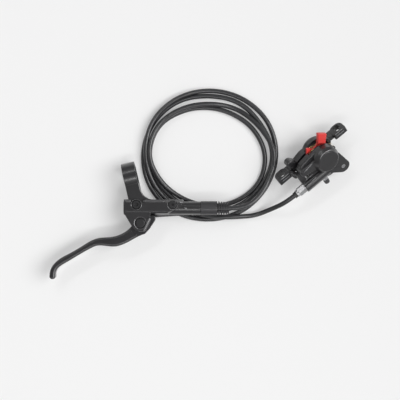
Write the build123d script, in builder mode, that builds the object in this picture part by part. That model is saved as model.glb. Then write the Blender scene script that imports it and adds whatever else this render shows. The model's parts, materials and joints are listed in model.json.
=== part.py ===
from build123d import *
import math
import os

os.makedirs("parts", exist_ok=True)

# Hydraulic disc brake: lever and master cylinder, hose, caliper with its pads.
# The origin is the middle of the handlebar clamp's bore. +X runs along the master cylinder towards
# the hose, +Z is up, and the brake lies on a table at table_height. All sizes are millimetres.

# Handlebar clamp
bar_radius = 11.1
clamp_wall = 3.2
clamp_width = 13.7
clamp_heading = 13.0
clamp_slit = 1.5
clamp_lug_thickness = 4.5
ring_radius = bar_radius + clamp_wall
table_height = -ring_radius
lug_top = table_height + clamp_lug_thickness

# Clamp bolt
clamp_bolt_reach = 30.4
clamp_bolt_radius = 2.5
clamp_head_radius = 4.4
clamp_head_height = 2.8
clamp_recess_depth = 3.3
bolt_clearance = 0.2

# Lever body
body_left = -6.3
body_back = -24.3
body_front = -40.2
body_height = 21.6
body_straight = 62.0
nose_radius = 6.95
nose_end = 73.2
body_bottom = lug_top + clamp_slit
body_top = body_bottom + body_height
neck_top = 11.0
neck_fillet = 14.0

# Master cylinder: its axis runs along +X
bore_y = -33.4
bore_z = 4.5
bore_radius = 4.5
bore_end = 40.4
spring_pocket_radius = 3.0
spring_pocket_end = 45.8
fluid_radius = 1.25
running_gap = 0.03
joint_gap = 0.3

# Lever pivot
pivot_x = 11.0
lever_travel = 20.0
pivot_radius = 3.0
pivot_head_radius = 4.75
pivot_head_height = 1.8
plate_radius = 9.2
plate_thickness = 3.0
hub_thickness = 10.0
hub_radius = 8.0
bushing_wall = 1.0
clip_thickness = 0.6
blade_thickness = 12.0
hub_relief_radius = 12.6

# Arm that pushes the piston
arm_reach = 15.3
arm_angle = 87.0
arm_width = 5.0
arm_nose_radius = 2.8
arm_thickness = 7.0
reach_screw_radius = 2.0
reach_screw_length = 5.6
reach_screw_start = -1.8
slot_gap = 0.4
slot_end_gap = 0.6

# Pieces in the bore
circlip_thickness = 1.0
circlip_inner_radius = 3.5
circlip_groove_depth = 0.45
circlip_gap = 0.9
piston_length = 12.0
push_rod_radius = 2.0
push_rod_head_radius = 3.2
push_rod_head = 1.5
push_gap = 0.2
socket_depth = 3.0
seal_depth = 1.4
spring_wire = 0.8
spring_mean_radius = 2.3
spring_turns = 5.5
spring_boss_radius = 1.7

# Reservoir, on the side that lies down
lid_left = 17.0
lid_length = 36.0
lid_width = 12.6
lid_thickness = 1.6
diaphragm_thickness = 0.8
chamber_inset = 7.0
chamber_roof = -1.8
lid_screw_radius = 1.5
lid_screw_length = 6.0

# Bleed screw in the top of the body
bleed_x = 44.4
bleed_y = -29.5
bleed_head_radius = 4.2
bleed_recess_radius = 4.8
bleed_recess_depth = 1.0
bleed_thread_radius = 2.5
bleed_thread_depth = 3.2

# Hose and what holds it at the lever
hose_radius = 2.5
hose_bore_radius = 1.15
boot_radius = 7.3
boot_length = 29.6
boot_cavity_radius = 5.8
boot_cavity_length = 7.6
boot_ribs = 5
rib_pitch = 2.55
rib_slots = 10
rib_slot_width = 1.1
rib_depth = 4.4
fitting_radius = 4.0
fitting_depth = 10.7
fitting_hex = 9.0
fitting_head = 7.0
olive_length = 3.0
insert_flange = 0.5
insert_length = 10.0

# Caliper frame: x along the line of the ears, y towards the hub, z towards the outer half
caliper_x = 189.2
caliper_y = 22.8
caliper_z = 14.95
ear_heading = 39.8
caliper_tilt = 42.0

# Caliper castings
channel_half = 2.2
ear_spacing = 74.2
ear_shift = -0.7
ear_thickness = 7.0
ear_width = 12.8
ear_length = 15.4
ear_round = 6.0
ear_corner = 1.3
ear_y = -5.2
ear_z = -9.0
arm_start = 20.0
arm_z = -10.0
arm_depth = 8.0
arm_height = 5.5
mount_slot_radius = 3.2
mount_slot_length = 8.4
housing_radius = 14.5
housing_cone = 2.9
housing_cone_depth = 5.2
outer_depth = 18.0
inner_depth = 15.0
block_depth = 13.0
block_step = 4.0
web_depth = 6.0
lug_depth = 12.0
inner_slab_depth = 11.0
inner_lug_depth = 8.0

# Caliper pistons
piston_x = 6.0
piston_y = -5.6
caliper_piston_radius = 10.5
caliper_piston_length = 7.0
piston_cup_radius = 7.8
piston_cup_depth = 5.0
caliper_bore_end = 12.7
seal_ring_width = 2.2
seal_ring_depth = 1.6

# Brake pads
pad_half_gap = 1.8
lining_thickness = 1.9
pad_plate_thickness = 1.7
pad_round_radius = 13.0
pad_shoulder = (-1.4, 4.1)
pad_shoulder_radius = 3.5
pad_nose = (20.2, -7.6)
pad_nose_radius = 2.0
pad_hub_opening = 14.0
lining_inset = 1.8
pad_tab_radius = 3.8
pad_gap = 0.5
pin_x = 17.5
pin_y = -30.6
pad_pin_radius = 1.7
pad_pin_head_radius = 2.3
pad_pin_head = 1.6
spacer_half = 1.0

# Joining bolts, one beside each side of the hose boss
joining_spots = [(-13.5, -20.5), (3.5, -25.5)]
joining_radius = 2.5
joining_head_radius = 4.25
joining_head = 4.0
joining_engagement = 5.5
transfer_x = -5.0
transfer_y = -23.0
transfer_radius = 1.0
transfer_depth = -5.2

# Hose boss, fitting and bleed nipple on the outer half
boss_y = -20.9
boss_z = 9.0
boss_radius = 6.25
boss_left = -28.0
boss_right = 2.0
nut_bore_radius = 4.0
nut_bore_depth = 10.0
nut_hex = 8.6
nut_length = 11.0
ferrule_radius = 3.3
ferrule_length = 3.0
nipple_x = -5.3
nipple_radius = 2.4
nipple_hex = 5.6
nipple_seat_y = -27.0
nipple_length = 8.0
nipple_face_gap = 1.0
bleed_cap_radius = 3.0

bore_axis = (bore_y, bore_z)
blade_mid = bore_z
# the arm stands square to the bore near rest, with its nose on the bore's axis
pivot_y = bore_y - arm_reach
pivot_spot = (pivot_x, pivot_y)
arm_rest = math.radians(arm_angle)
arm_pulled = math.radians(arm_angle - lever_travel)
arm_nose = (pivot_x + arm_reach * math.cos(arm_rest), pivot_y + arm_reach * math.sin(arm_rest))
screw_tip = reach_screw_start + reach_screw_length
slot_left = arm_nose[0] - arm_nose_radius - slot_end_gap
slot_top_y = bore_y + arm_nose_radius + slot_end_gap
slot_right = (
    pivot_x + arm_reach * math.cos(arm_pulled) + screw_tip * math.sin(arm_pulled) + slot_end_gap
)
circlip_seat = slot_right + circlip_gap
clamp_bolt_x = clamp_bolt_reach * math.sin(math.radians(clamp_heading))
clamp_bolt_y = -clamp_bolt_reach * math.cos(math.radians(clamp_heading))
hub_top = blade_mid + hub_thickness / 2
hub_bottom = blade_mid - hub_thickness / 2
plate_low = hub_bottom - joint_gap
plate_high = hub_top + joint_gap

# Across the bar: x towards the lever body, y up, and the normal out of the clamp's left end
bar_plane = Plane(
    origin=(0, 0, 0),
    x_dir=(math.sin(math.radians(clamp_heading)), -math.cos(math.radians(clamp_heading)), 0),
    z_dir=(-math.cos(math.radians(clamp_heading)), -math.sin(math.radians(clamp_heading)), 0),
)

ear_sin = math.sin(math.radians(ear_heading))
ear_cos = math.cos(math.radians(ear_heading))
tilt_sin = math.sin(math.radians(caliper_tilt))
tilt_cos = math.cos(math.radians(caliper_tilt))
caliper = Plane(
    origin=(caliper_x, caliper_y, caliper_z),
    x_dir=(ear_cos, ear_sin, 0),
    z_dir=(tilt_sin * ear_sin, -tilt_sin * ear_cos, tilt_cos),
)


def spot(x, y, z):
    """Point of the caliper's own frame, given in the frame of the whole brake."""
    return caliper.from_local_coords(Vector(x, y, z))


def along_ears(x):
    """Plane across the line of the ears: its x runs towards the hub, its y towards the outer half."""
    return Plane(origin=spot(x, 0, 0), x_dir=caliper.y_dir, z_dir=caliper.x_dir)


def along_hub(y):
    """Plane across the hub's direction: its x runs against the ears' line, its y towards the outer half."""
    return Plane(origin=spot(0, y, 0), x_dir=-caliper.x_dir, z_dir=caliper.y_dir)


# Lever body: clamp ring, neck, lug, cylinder and pivot plates in one casting
body_section = [
    (body_back - 2.0, body_bottom),
    (body_back, body_bottom + 2.0),
    (body_back, body_top - 5.5),
    (body_back - 3.2, body_top),
    (body_front + 3.6, body_top),
    (body_front + 1.6, body_top - 1.2),
    (body_front, body_top - 6.0),
    (body_front, body_bottom + 2.0),
    (body_front + 2.0, body_bottom),
]
# the slant runs from the body's front edge to its back edge, seen from above
slant_start = (36.5, body_front + 0.7)
slant_end = (56.0, body_back - 5.3)
slant_top = 0.3
slant_foot = -2.6
slant_run = Vector(slant_end[0] - slant_start[0], slant_end[1] - slant_start[1], 0)
slant_way = slant_run.normalized()
slant_length = slant_run.length + 20
slant_plane = Plane(
    origin=Vector(*slant_start, 0) - slant_way * 10,
    x_dir=(-slant_way.Y, slant_way.X, 0),
    z_dir=slant_way,
)
bar_side = clamp_width / 2
neck_end = body_back - 3.0
lug_end = clamp_bolt_reach

with BuildPart() as lever_body:
    with BuildSketch(Plane.YZ.offset(body_left)):
        with BuildLine():
            Polyline(*body_section, close=True)
        make_face()
        fillet(vertices(), 0.9)
    extrude(amount=body_straight)
    # its end is turned down to the round nose
    body_end = body_left + body_straight
    with BuildSketch(Plane.XY.offset(bore_z)):
        with BuildLine():
            Polyline(
                (body_end - 11, bore_y + 17),
                (body_end + 1, bore_y + nose_radius + 0.2),
                (body_end + 1, bore_y + 24),
                (body_end - 11, bore_y + 24),
                close=True,
            )
        make_face()
    revolve(axis=Axis((0, bore_y, bore_z), (1, 0, 0)), mode=Mode.SUBTRACT)
    # above the bore its front corner slopes away along a slanting line and bares the cylinder
    with BuildSketch(slant_plane):
        with BuildLine():
            Polyline(
                (slant_top, body_top + 1),
                (slant_foot, bore_z),
                (slant_foot - 20, bore_z),
                (slant_foot - 20, body_top + 1),
                close=True,
            )
        make_face()
    extrude(amount=slant_length, mode=Mode.SUBTRACT)
    with BuildSketch(Plane.YZ.offset(slant_start[0])):
        with Locations(bore_axis):
            Circle(nose_radius)
    extrude(amount=nose_end - slant_start[0])

    # neck between the ring and the body, seen from above, with its large fillet
    neck_left = bar_plane.from_local_coords(Vector(0, 0, bar_side))
    neck_right = bar_plane.from_local_coords(Vector(0, 0, -bar_side))
    neck_slope = math.tan(math.radians(clamp_heading))
    neck_corner = (neck_right.X + (neck_right.Y - body_back) * neck_slope, body_back)
    with BuildSketch(Plane.XY.offset(body_bottom)):
        with BuildLine():
            Polyline(
                (neck_left.X, neck_left.Y),
                (neck_left.X + (neck_left.Y - neck_end) * neck_slope, neck_end),
                (neck_corner[0] + 20, neck_end),
                (neck_corner[0] + 20, body_back),
                neck_corner,
                (neck_right.X, neck_right.Y),
                close=True,
            )
        make_face()
        fillet(vertices().sort_by_distance((neck_corner[0], neck_corner[1], 0))[0], neck_fillet)
    extrude(amount=neck_top - body_bottom)

    # lug under the body, below the slit
    with BuildSketch(Plane.XY.offset(table_height)):
        with BuildLine():
            lug_tip_left = bar_plane.from_local_coords(Vector(lug_end, 0, bar_side))
            lug_tip_right = bar_plane.from_local_coords(Vector(lug_end, 0, -bar_side))
            lug_tip = bar_plane.from_local_coords(Vector(lug_end + bar_side, 0, 0))
            Polyline(
                (lug_tip_right.X, lug_tip_right.Y),
                (neck_right.X, neck_right.Y),
                (neck_left.X, neck_left.Y),
                (lug_tip_left.X, lug_tip_left.Y),
            )
            ThreePointArc(
                (lug_tip_left.X, lug_tip_left.Y),
                (lug_tip.X, lug_tip.Y),
                (lug_tip_right.X, lug_tip_right.Y),
            )
        make_face()
    extrude(amount=clamp_lug_thickness)

    # clamp ring and its bore
    with BuildSketch(bar_plane.offset(-bar_side)):
        Circle(ring_radius)
    extrude(amount=clamp_width)
    with BuildSketch(bar_plane.offset(-clamp_width)):
        Circle(bar_radius)
    extrude(amount=2 * clamp_width, mode=Mode.SUBTRACT)
    with BuildSketch(bar_plane.offset(-clamp_width)):
        with Locations((ring_radius, lug_top + clamp_slit / 2)):
            Rectangle(ring_radius, clamp_slit)
    extrude(amount=2 * clamp_width, mode=Mode.SUBTRACT)

    # pivot plates
    plate_right = pivot_x + 15.0
    for low, right in ((plate_low - plate_thickness, plate_right), (plate_high, plate_right - 4.6)):
        with BuildSketch(Plane.XY.offset(low)):
            with Locations(pivot_spot):
                Circle(plate_radius)
            with Locations(((body_left + 1.4 + right) / 2, body_front + 1.5)):
                Rectangle(right - body_left - 1.4, 3)
            make_hull()
        extrude(amount=plate_thickness)
    with BuildSketch(Plane.XY.offset(plate_low - plate_thickness)):
        with BuildLine():
            Polyline(
                (plate_right - 6, body_front - 3.2),
                (nose_end, bore_y - nose_radius + 0.4),
                (nose_end, bore_y),
                (plate_right - 6, bore_y),
                close=True,
            )
        make_face()
    extrude(amount=plate_thickness)
    with BuildSketch(Plane.XY.offset(plate_low - plate_thickness)):
        with Locations(pivot_spot):
            Circle(pivot_radius)
    extrude(amount=hub_thickness + 3 * plate_thickness, mode=Mode.SUBTRACT)
    with BuildSketch(Plane.XY.offset(plate_high + plate_thickness - 1.2)):
        with Locations(pivot_spot):
            Circle(pivot_head_radius + 1.4)
    extrude(amount=1.2, mode=Mode.SUBTRACT)

    # slot for the lever's arm, between the plates
    with BuildSketch(Plane.XY.offset(blade_mid - arm_thickness / 2 - slot_gap)):
        with BuildLine():
            Polyline(
                (slot_left, slot_top_y),
                (slot_right, slot_top_y),
                (slot_right, body_front - 1),
                (slot_left, body_front - 1),
                close=True,
            )
        make_face()
        fillet(vertices().group_by(Axis.Y)[-1], 1.5)
    extrude(amount=arm_thickness + 2 * slot_gap, mode=Mode.SUBTRACT)

    # stepped bore, spring pocket, fluid passage and the thread for the hose fitting
    for start, end, radius in (
        (slot_right - 1, bore_end, bore_radius),
        (bore_end, spring_pocket_end, spring_pocket_radius),
        (spring_pocket_end, nose_end, fluid_radius),
        (nose_end - fitting_depth, nose_end, fitting_radius),
        (circlip_seat, circlip_seat + circlip_thickness, bore_radius + circlip_groove_depth),
    ):
        with BuildSketch(Plane.YZ.offset(start)):
            with Locations(bore_axis):
                Circle(radius)
        extrude(amount=end - start, mode=Mode.SUBTRACT)

    # clamp bolt: recess for its head, clear hole in the body, thread in the lug
    with BuildSketch(Plane.XY.offset(body_top - clamp_recess_depth)):
        with Locations((clamp_bolt_x, clamp_bolt_y)):
            Circle(clamp_head_radius + 0.6)
    extrude(amount=clamp_recess_depth, mode=Mode.SUBTRACT)
    with BuildSketch(Plane.XY.offset(lug_top)):
        with Locations((clamp_bolt_x, clamp_bolt_y)):
            Circle(clamp_bolt_radius + bolt_clearance)
    extrude(amount=body_top - lug_top, mode=Mode.SUBTRACT)
    with BuildSketch(Plane.XY.offset(table_height)):
        with Locations((clamp_bolt_x, clamp_bolt_y)):
            Circle(clamp_bolt_radius)
    extrude(amount=clamp_lug_thickness, mode=Mode.SUBTRACT)

    # reservoir: recess for lid and diaphragm, chamber, screw holes and the port to the bore
    lid_middle = (lid_left + lid_length / 2, (body_back + body_front) / 2)
    chamber_length = lid_length - 2 * chamber_inset
    with BuildSketch(Plane.XY.offset(body_bottom)):
        with Locations(lid_middle):
            RectangleRounded(lid_length, lid_width, 3)
    extrude(amount=lid_thickness + diaphragm_thickness, mode=Mode.SUBTRACT)
    with BuildSketch(Plane.XY.offset(body_bottom)):
        with Locations(lid_middle):
            RectangleRounded(chamber_length, lid_width - 2.6, 2.5)
    extrude(amount=chamber_roof - body_bottom, mode=Mode.SUBTRACT)
    lid_screw_spots = [(lid_left + 3.5, lid_middle[1]), (lid_left + lid_length - 3.5, lid_middle[1])]
    with BuildSketch(Plane.XY.offset(body_bottom)):
        with Locations(*lid_screw_spots):
            Circle(lid_screw_radius)
    extrude(amount=lid_screw_length, mode=Mode.SUBTRACT)
    with BuildSketch(Plane.XY.offset(chamber_roof - 1)):
        with Locations((circlip_seat + circlip_thickness + piston_length + 1.5, bore_y)):
            Circle(0.5)
    extrude(amount=4, mode=Mode.SUBTRACT)

    # bleed screw: recess, thread and the passage down beside the spring pocket
    with BuildSketch(Plane.XY.offset(body_top - bleed_recess_depth)):
        with Locations((bleed_x, bleed_y)):
            Circle(bleed_recess_radius)
    extrude(amount=bleed_recess_depth, mode=Mode.SUBTRACT)
    with BuildSketch(Plane.XY.offset(body_top - bleed_recess_depth - bleed_thread_depth)):
        with Locations((bleed_x, bleed_y)):
            Circle(bleed_thread_radius)
    extrude(amount=bleed_thread_depth, mode=Mode.SUBTRACT)
    with BuildSketch(Plane.XY.offset(chamber_roof - 1)):
        with Locations((bleed_x, bleed_y + 1.4)):
            Circle(0.9)
    extrude(amount=body_top - bleed_recess_depth - chamber_roof, mode=Mode.SUBTRACT)
lever_body.part.label = "lever_body"
export_step(lever_body.part, "parts/lever_body.step")

# Clamp bolt, from the recess down through the lug
clamp_bolt_top = body_top - clamp_recess_depth + clamp_head_height
with BuildPart() as clamp_bolt:
    with BuildSketch(Plane.XY.offset(clamp_bolt_top - clamp_head_height)):
        with Locations((clamp_bolt_x, clamp_bolt_y)):
            Circle(clamp_head_radius)
    extrude(amount=clamp_head_height)
    chamfer(edges().group_by(Axis.Z)[-1], 0.4)
    with BuildSketch(Plane.XY.offset(table_height + 0.3)):
        with Locations((clamp_bolt_x, clamp_bolt_y)):
            Circle(clamp_bolt_radius)
    extrude(amount=clamp_bolt_top - clamp_head_height - table_height - 0.3)
    with BuildSketch(Plane.XY.offset(clamp_bolt_top - 1.8)):
        with Locations((clamp_bolt_x, clamp_bolt_y)):
            RegularPolygon(radius=2.0, side_count=6, major_radius=False)
    extrude(amount=1.8, mode=Mode.SUBTRACT)
clamp_bolt.part.label = "clamp_bolt"
export_step(clamp_bolt.part, "parts/clamp_bolt.step")

# Lever blade: finger part, hub with its heel, and the arm into the body
blade_back = [
    (-9.0, -2.8), (-13.5, -7.4), (-20.2, -11.5), (-29.5, -14.4), (-45.5, -16.1),
    (-58.9, -22.8), (-72.2, -30.7), (-84.2, -37.4), (-92.2, -45.8), (-94.4, -54.3),
]
blade_front = [
    (-88.4, -54.5), (-85.6, -46.8), (-78.9, -42.1), (-65.5, -34.1), (-52.2, -26.6),
    (-45.0, -23.7), (-36.2, -23.9), (-25.6, -24.4), (-18.9, -22.6), (-9.6, -18.1),
    (-1.5, -13.7), (4.4, -11.5),
]
heel = [(4.4, -11.5), (9.5, -5.9), (15.4, 3.2), (15.0, 7.6), (4.0, 7.6), (-9.0, -2.8)]
blade_tip = (-91.9, -58.4)


def from_pivot(outline):
    """Outline points of the blade, which are measured from the pivot."""
    return [(pivot_x + x, pivot_y + y) for x, y in outline]


with BuildPart() as lever_blade:
    with BuildSketch(Plane.XY.offset(blade_mid - blade_thickness / 2)):
        with BuildLine():
            Spline(*from_pivot(blade_back))
            ThreePointArc(*from_pivot([blade_back[-1], blade_tip, blade_front[0]]))
            Spline(*from_pivot(blade_front))
            Polyline(*from_pivot(heel))
        make_face()
    extrude(amount=blade_thickness)
    fillet(edges().filter_by(Plane.XY).sort_by(Axis.X)[:6], 2.2)
    for low in (hub_top, blade_mid - blade_thickness / 2):
        with BuildSketch(Plane.XY.offset(low)):
            with Locations(pivot_spot):
                Circle(hub_relief_radius)
            with Locations((pivot_x + 12, pivot_y - 1.5)):
                Rectangle(32, 23)
        extrude(amount=(blade_thickness - hub_thickness) / 2, mode=Mode.SUBTRACT)
    with BuildSketch(Plane.XY.offset(hub_bottom)):
        with Locations(pivot_spot):
            Circle(hub_radius)
    extrude(amount=hub_thickness)
    with BuildSketch(Plane.XY.offset(blade_mid - arm_thickness / 2)):
        with Locations(pivot_spot):
            Circle(arm_width / 2)
        with Locations(arm_nose):
            Circle(arm_nose_radius)
        make_hull()
    extrude(amount=arm_thickness)
    with BuildSketch(Plane.XY.offset(hub_bottom)):
        with Locations(pivot_spot):
            Circle(pivot_radius + running_gap + bushing_wall)
    extrude(amount=hub_thickness, mode=Mode.SUBTRACT)
    screw_plane = Plane(
        origin=(arm_nose[0], arm_nose[1], blade_mid),
        x_dir=(0, 0, 1),
        z_dir=(math.sin(arm_rest), -math.cos(arm_rest), 0),
    )
    with BuildSketch(screw_plane.offset(-2 * arm_nose_radius)):
        Circle(reach_screw_radius)
    extrude(amount=4 * arm_nose_radius, mode=Mode.SUBTRACT)
lever_blade.part.label = "lever_blade"
export_step(lever_blade.part, "parts/lever_blade.step")

# Reach screw in the arm's nose: its round tip pushes the rod
with BuildPart() as reach_screw:
    with BuildSketch(screw_plane.offset(reach_screw_start)):
        Circle(reach_screw_radius)
    extrude(amount=reach_screw_length)
    fillet(edges().group_by(Axis.X)[-1], 1.5)
    with BuildSketch(screw_plane.offset(reach_screw_start)):
        RegularPolygon(radius=1.0, side_count=6, major_radius=False)
    extrude(amount=1.6, mode=Mode.SUBTRACT)
reach_screw.part.label = "reach_screw"
export_step(reach_screw.part, "parts/reach_screw.step")

# Pivot pin with its round head, in the plates
pivot_top = plate_high + plate_thickness - 1.2
pivot_end = plate_low - plate_thickness - 1.8
with BuildPart() as pivot_pin:
    with BuildSketch(Plane.XY.offset(pivot_end)):
        with Locations(pivot_spot):
            Circle(pivot_radius)
    extrude(amount=pivot_top - pivot_end)
    with BuildSketch(Plane.XY.offset(pivot_top)):
        with Locations(pivot_spot):
            Circle(pivot_head_radius)
    extrude(amount=pivot_head_height)
    fillet(edges().group_by(Axis.Z)[-1], 0.8)
    with BuildSketch(Plane.XY.offset(plate_low - plate_thickness - clip_thickness - 0.1)):
        with Locations(pivot_spot):
            Circle(pivot_radius)
            Circle(pivot_radius - 0.6, mode=Mode.SUBTRACT)
    extrude(amount=clip_thickness, mode=Mode.SUBTRACT)
pivot_pin.part.label = "pivot_pin"
export_step(pivot_pin.part, "parts/pivot_pin.step")

# Spring clip in the pin's groove, under the lower plate
with BuildPart() as pivot_clip:
    with BuildSketch(Plane.XY.offset(plate_low - plate_thickness - clip_thickness - 0.1)):
        with Locations(pivot_spot):
            Circle(pivot_radius + 1.7)
            Circle(pivot_radius - 0.6, mode=Mode.SUBTRACT)
        with Locations((pivot_x, pivot_y - pivot_radius)):
            Rectangle(3.4, 4, mode=Mode.SUBTRACT)
    extrude(amount=clip_thickness)
pivot_clip.part.label = "pivot_clip"
export_step(pivot_clip.part, "parts/pivot_clip.step")

# Two plain bushings in the hub
with BuildPart() as pivot_bushings:
    for low in (hub_bottom, blade_mid + 0.1):
        with BuildSketch(Plane.XY.offset(low)):
            with Locations(pivot_spot):
                Circle(pivot_radius + running_gap + bushing_wall)
                Circle(pivot_radius + running_gap, mode=Mode.SUBTRACT)
        extrude(amount=hub_thickness / 2 - 0.1)
pivot_bushings.part.label = "pivot_bushings"
export_step(pivot_bushings.part, "parts/pivot_bushings.step")

# Where the reach screw's tip is at rest, and what follows from it along the bore
tip_x = arm_nose[0] + screw_tip * math.sin(arm_rest)
rod_start = tip_x + push_gap
piston_start = circlip_seat + circlip_thickness + 0.05
piston_end = piston_start + piston_length
bore_plane = Plane.XY.offset(bore_z)


def bore_ring(start, end, inner, outer):
    """Ring round the bore's axis, from start to end along it, as a separate solid."""
    with BuildPart() as ring:
        with BuildSketch(Plane.YZ.offset(start)):
            with Locations(bore_axis):
                Circle(outer)
                Circle(inner, mode=Mode.SUBTRACT)
        extrude(amount=end - start)
    return ring.part


with BuildPart() as push_rod:
    with BuildSketch(Plane.YZ.offset(rod_start)):
        with Locations(bore_axis):
            Circle(push_rod_head_radius)
    extrude(amount=push_rod_head)
    with BuildSketch(Plane.YZ.offset(rod_start)):
        with Locations(bore_axis):
            Circle(push_rod_radius)
    extrude(amount=piston_start + socket_depth - rod_start)
push_rod.part.label = "push_rod"
export_step(push_rod.part, "parts/push_rod.step")

# Master piston: socket for the rod, two seal grooves and the spring's boss
rear_groove = piston_start + 4.4
front_groove = piston_end - 3.4
groove_width = 2.0
with BuildPart() as master_piston:
    with BuildSketch(bore_plane):
        with BuildLine():
            Polyline(
                (piston_start, bore_y),
                (piston_start, bore_y + bore_radius - running_gap),
                (rear_groove, bore_y + bore_radius - running_gap),
                (rear_groove, bore_y + bore_radius - seal_depth),
                (rear_groove + groove_width, bore_y + bore_radius - seal_depth),
                (rear_groove + groove_width, bore_y + bore_radius - running_gap),
                (front_groove, bore_y + bore_radius - running_gap),
                (front_groove, bore_y + bore_radius - seal_depth),
                (front_groove + groove_width, bore_y + bore_radius - seal_depth),
                (front_groove + groove_width, bore_y + bore_radius - running_gap),
                (piston_end, bore_y + bore_radius - running_gap),
                (piston_end, bore_y + spring_boss_radius),
                (piston_end + 2, bore_y + spring_boss_radius),
                (piston_end + 2, bore_y),
                close=True,
            )
        make_face()
    revolve(axis=Axis((0, bore_y, bore_z), (1, 0, 0)))
    with BuildSketch(Plane.YZ.offset(piston_start)):
        with Locations(bore_axis):
            Circle(push_rod_radius)
    extrude(amount=socket_depth, mode=Mode.SUBTRACT)
master_piston.part.label = "master_piston"
export_step(master_piston.part, "parts/master_piston.step")

seal_inner = bore_radius - seal_depth
secondary_seal = bore_ring(rear_groove + 0.1, rear_groove + groove_width - 0.1, seal_inner, bore_radius - 0.01)
secondary_seal.label = "secondary_seal"
export_step(secondary_seal, "parts/secondary_seal.step")
primary_seal = bore_ring(front_groove + 0.1, front_groove + groove_width - 0.1, seal_inner, bore_radius - 0.01)
primary_seal.label = "primary_seal"
export_step(primary_seal, "parts/primary_seal.step")

# Snap ring at the bore's mouth
with BuildPart() as piston_circlip:
    with BuildSketch(Plane.YZ.offset(circlip_seat)):
        with Locations(bore_axis):
            Circle(bore_radius + circlip_groove_depth)
            Circle(circlip_inner_radius, mode=Mode.SUBTRACT)
        with Locations((bore_y, bore_z + bore_radius)):
            Rectangle(3, 3, mode=Mode.SUBTRACT)
    extrude(amount=circlip_thickness)
piston_circlip.part.label = "piston_circlip"
export_step(piston_circlip.part, "parts/piston_circlip.step")

# Return spring between the piston and the end of its pocket
spring_length = spring_pocket_end - piston_end - spring_wire - 0.2
spring_start = (piston_end + spring_wire / 2 + 0.1, bore_y, bore_z)
with BuildPart() as return_spring:
    with BuildLine():
        coil = Helix(
            pitch=spring_length / spring_turns,
            height=spring_length,
            radius=spring_mean_radius,
            center=spring_start,
            direction=(1, 0, 0),
        )
    with BuildSketch(Plane(origin=coil @ 0, z_dir=coil % 0)):
        Circle(spring_wire / 2)
    sweep(path=coil, is_frenet=True)
return_spring.part.label = "return_spring"
export_step(return_spring.part, "parts/return_spring.step")

# Reservoir lid, its diaphragm and screws
lid_low = body_bottom
with BuildPart() as reservoir_lid:
    with BuildSketch(Plane.XY.offset(lid_low)):
        with Locations(lid_middle):
            RectangleRounded(lid_length - 0.4, lid_width - 0.4, 2.8)
    extrude(amount=lid_thickness)
    chamfer(edges().group_by(Axis.Z)[0], 0.4)
    with BuildSketch(Plane.XY.offset(lid_low)):
        with Locations(*lid_screw_spots):
            Circle(lid_screw_radius)
    extrude(amount=lid_thickness, mode=Mode.SUBTRACT)
    with BuildSketch(Plane.XY.offset(lid_low)):
        with Locations(*lid_screw_spots):
            Circle(lid_screw_radius + 1.2)
    extrude(amount=0.9, mode=Mode.SUBTRACT)
reservoir_lid.part.label = "reservoir_lid"
export_step(reservoir_lid.part, "parts/reservoir_lid.step")

diaphragm_low = lid_low + lid_thickness
with BuildPart() as diaphragm:
    with BuildSketch(Plane.XY.offset(diaphragm_low)):
        with Locations(lid_middle):
            RectangleRounded(lid_length - 0.4, lid_width - 0.4, 2.8)
    extrude(amount=diaphragm_thickness)
    with BuildSketch(Plane.XY.offset(diaphragm_low)):
        with Locations(lid_middle):
            RectangleRounded(chamber_length - 1, lid_width - 3.6, 2)
    extrude(amount=diaphragm_thickness + 1.4)
    with BuildSketch(Plane.XY.offset(diaphragm_low)):
        with Locations(lid_middle):
            RectangleRounded(chamber_length - 3, lid_width - 5.6, 1.5)
    extrude(amount=1.4, mode=Mode.SUBTRACT)
    with BuildSketch(Plane.XY.offset(diaphragm_low)):
        with Locations(*lid_screw_spots):
            Circle(lid_screw_radius)
    extrude(amount=diaphragm_thickness, mode=Mode.SUBTRACT)
diaphragm.part.label = "diaphragm"
export_step(diaphragm.part, "parts/diaphragm.step")

with BuildPart() as lid_screws:
    with BuildSketch(Plane.XY.offset(lid_low)):
        with Locations(*lid_screw_spots):
            Circle(lid_screw_radius + 1.2)
    extrude(amount=0.9)
    with BuildSketch(Plane.XY.offset(lid_low)):
        with Locations(*lid_screw_spots):
            Circle(lid_screw_radius)
    extrude(amount=lid_screw_length - 0.3)
    with BuildSketch(Plane.XY.offset(lid_low)):
        with Locations(*lid_screw_spots):
            Rectangle(2.6, 0.6)
            Rectangle(0.6, 2.6)
    extrude(amount=0.8, mode=Mode.SUBTRACT)
lid_screws.part.label = "lid_screws"
export_step(lid_screws.part, "parts/lid_screws.step")

# Bleed screw and the ring under its head
bleed_seat = body_top - bleed_recess_depth
bleed_ring_height = 0.6
with BuildPart() as bleed_screw:
    with BuildSketch(Plane.XY.offset(bleed_seat + bleed_ring_height)):
        with Locations((bleed_x, bleed_y)):
            Circle(bleed_head_radius)
    extrude(amount=1.7)
    fillet(edges().group_by(Axis.Z)[-1], 0.6)
    with BuildSketch(Plane.XY.offset(bleed_seat - bleed_thread_depth + 0.4)):
        with Locations((bleed_x, bleed_y)):
            Circle(bleed_thread_radius)
    extrude(amount=bleed_thread_depth + bleed_ring_height - 0.4)
    with BuildSketch(Plane.XY.offset(bleed_seat + bleed_ring_height + 0.1)):
        with Locations((bleed_x, bleed_y)):
            RegularPolygon(radius=1.3, side_count=6, major_radius=False)
    extrude(amount=1.6, mode=Mode.SUBTRACT)
bleed_screw.part.label = "bleed_screw"
export_step(bleed_screw.part, "parts/bleed_screw.step")

with BuildPart() as bleed_o_ring:
    with BuildSketch(Plane.XY.offset(bleed_seat)):
        with Locations((bleed_x, bleed_y)):
            Circle(bleed_thread_radius + 1.1)
            Circle(bleed_thread_radius, mode=Mode.SUBTRACT)
    extrude(amount=bleed_ring_height)
bleed_o_ring.part.label = "bleed_o_ring"
export_step(bleed_o_ring.part, "parts/bleed_o_ring.step")

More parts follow.
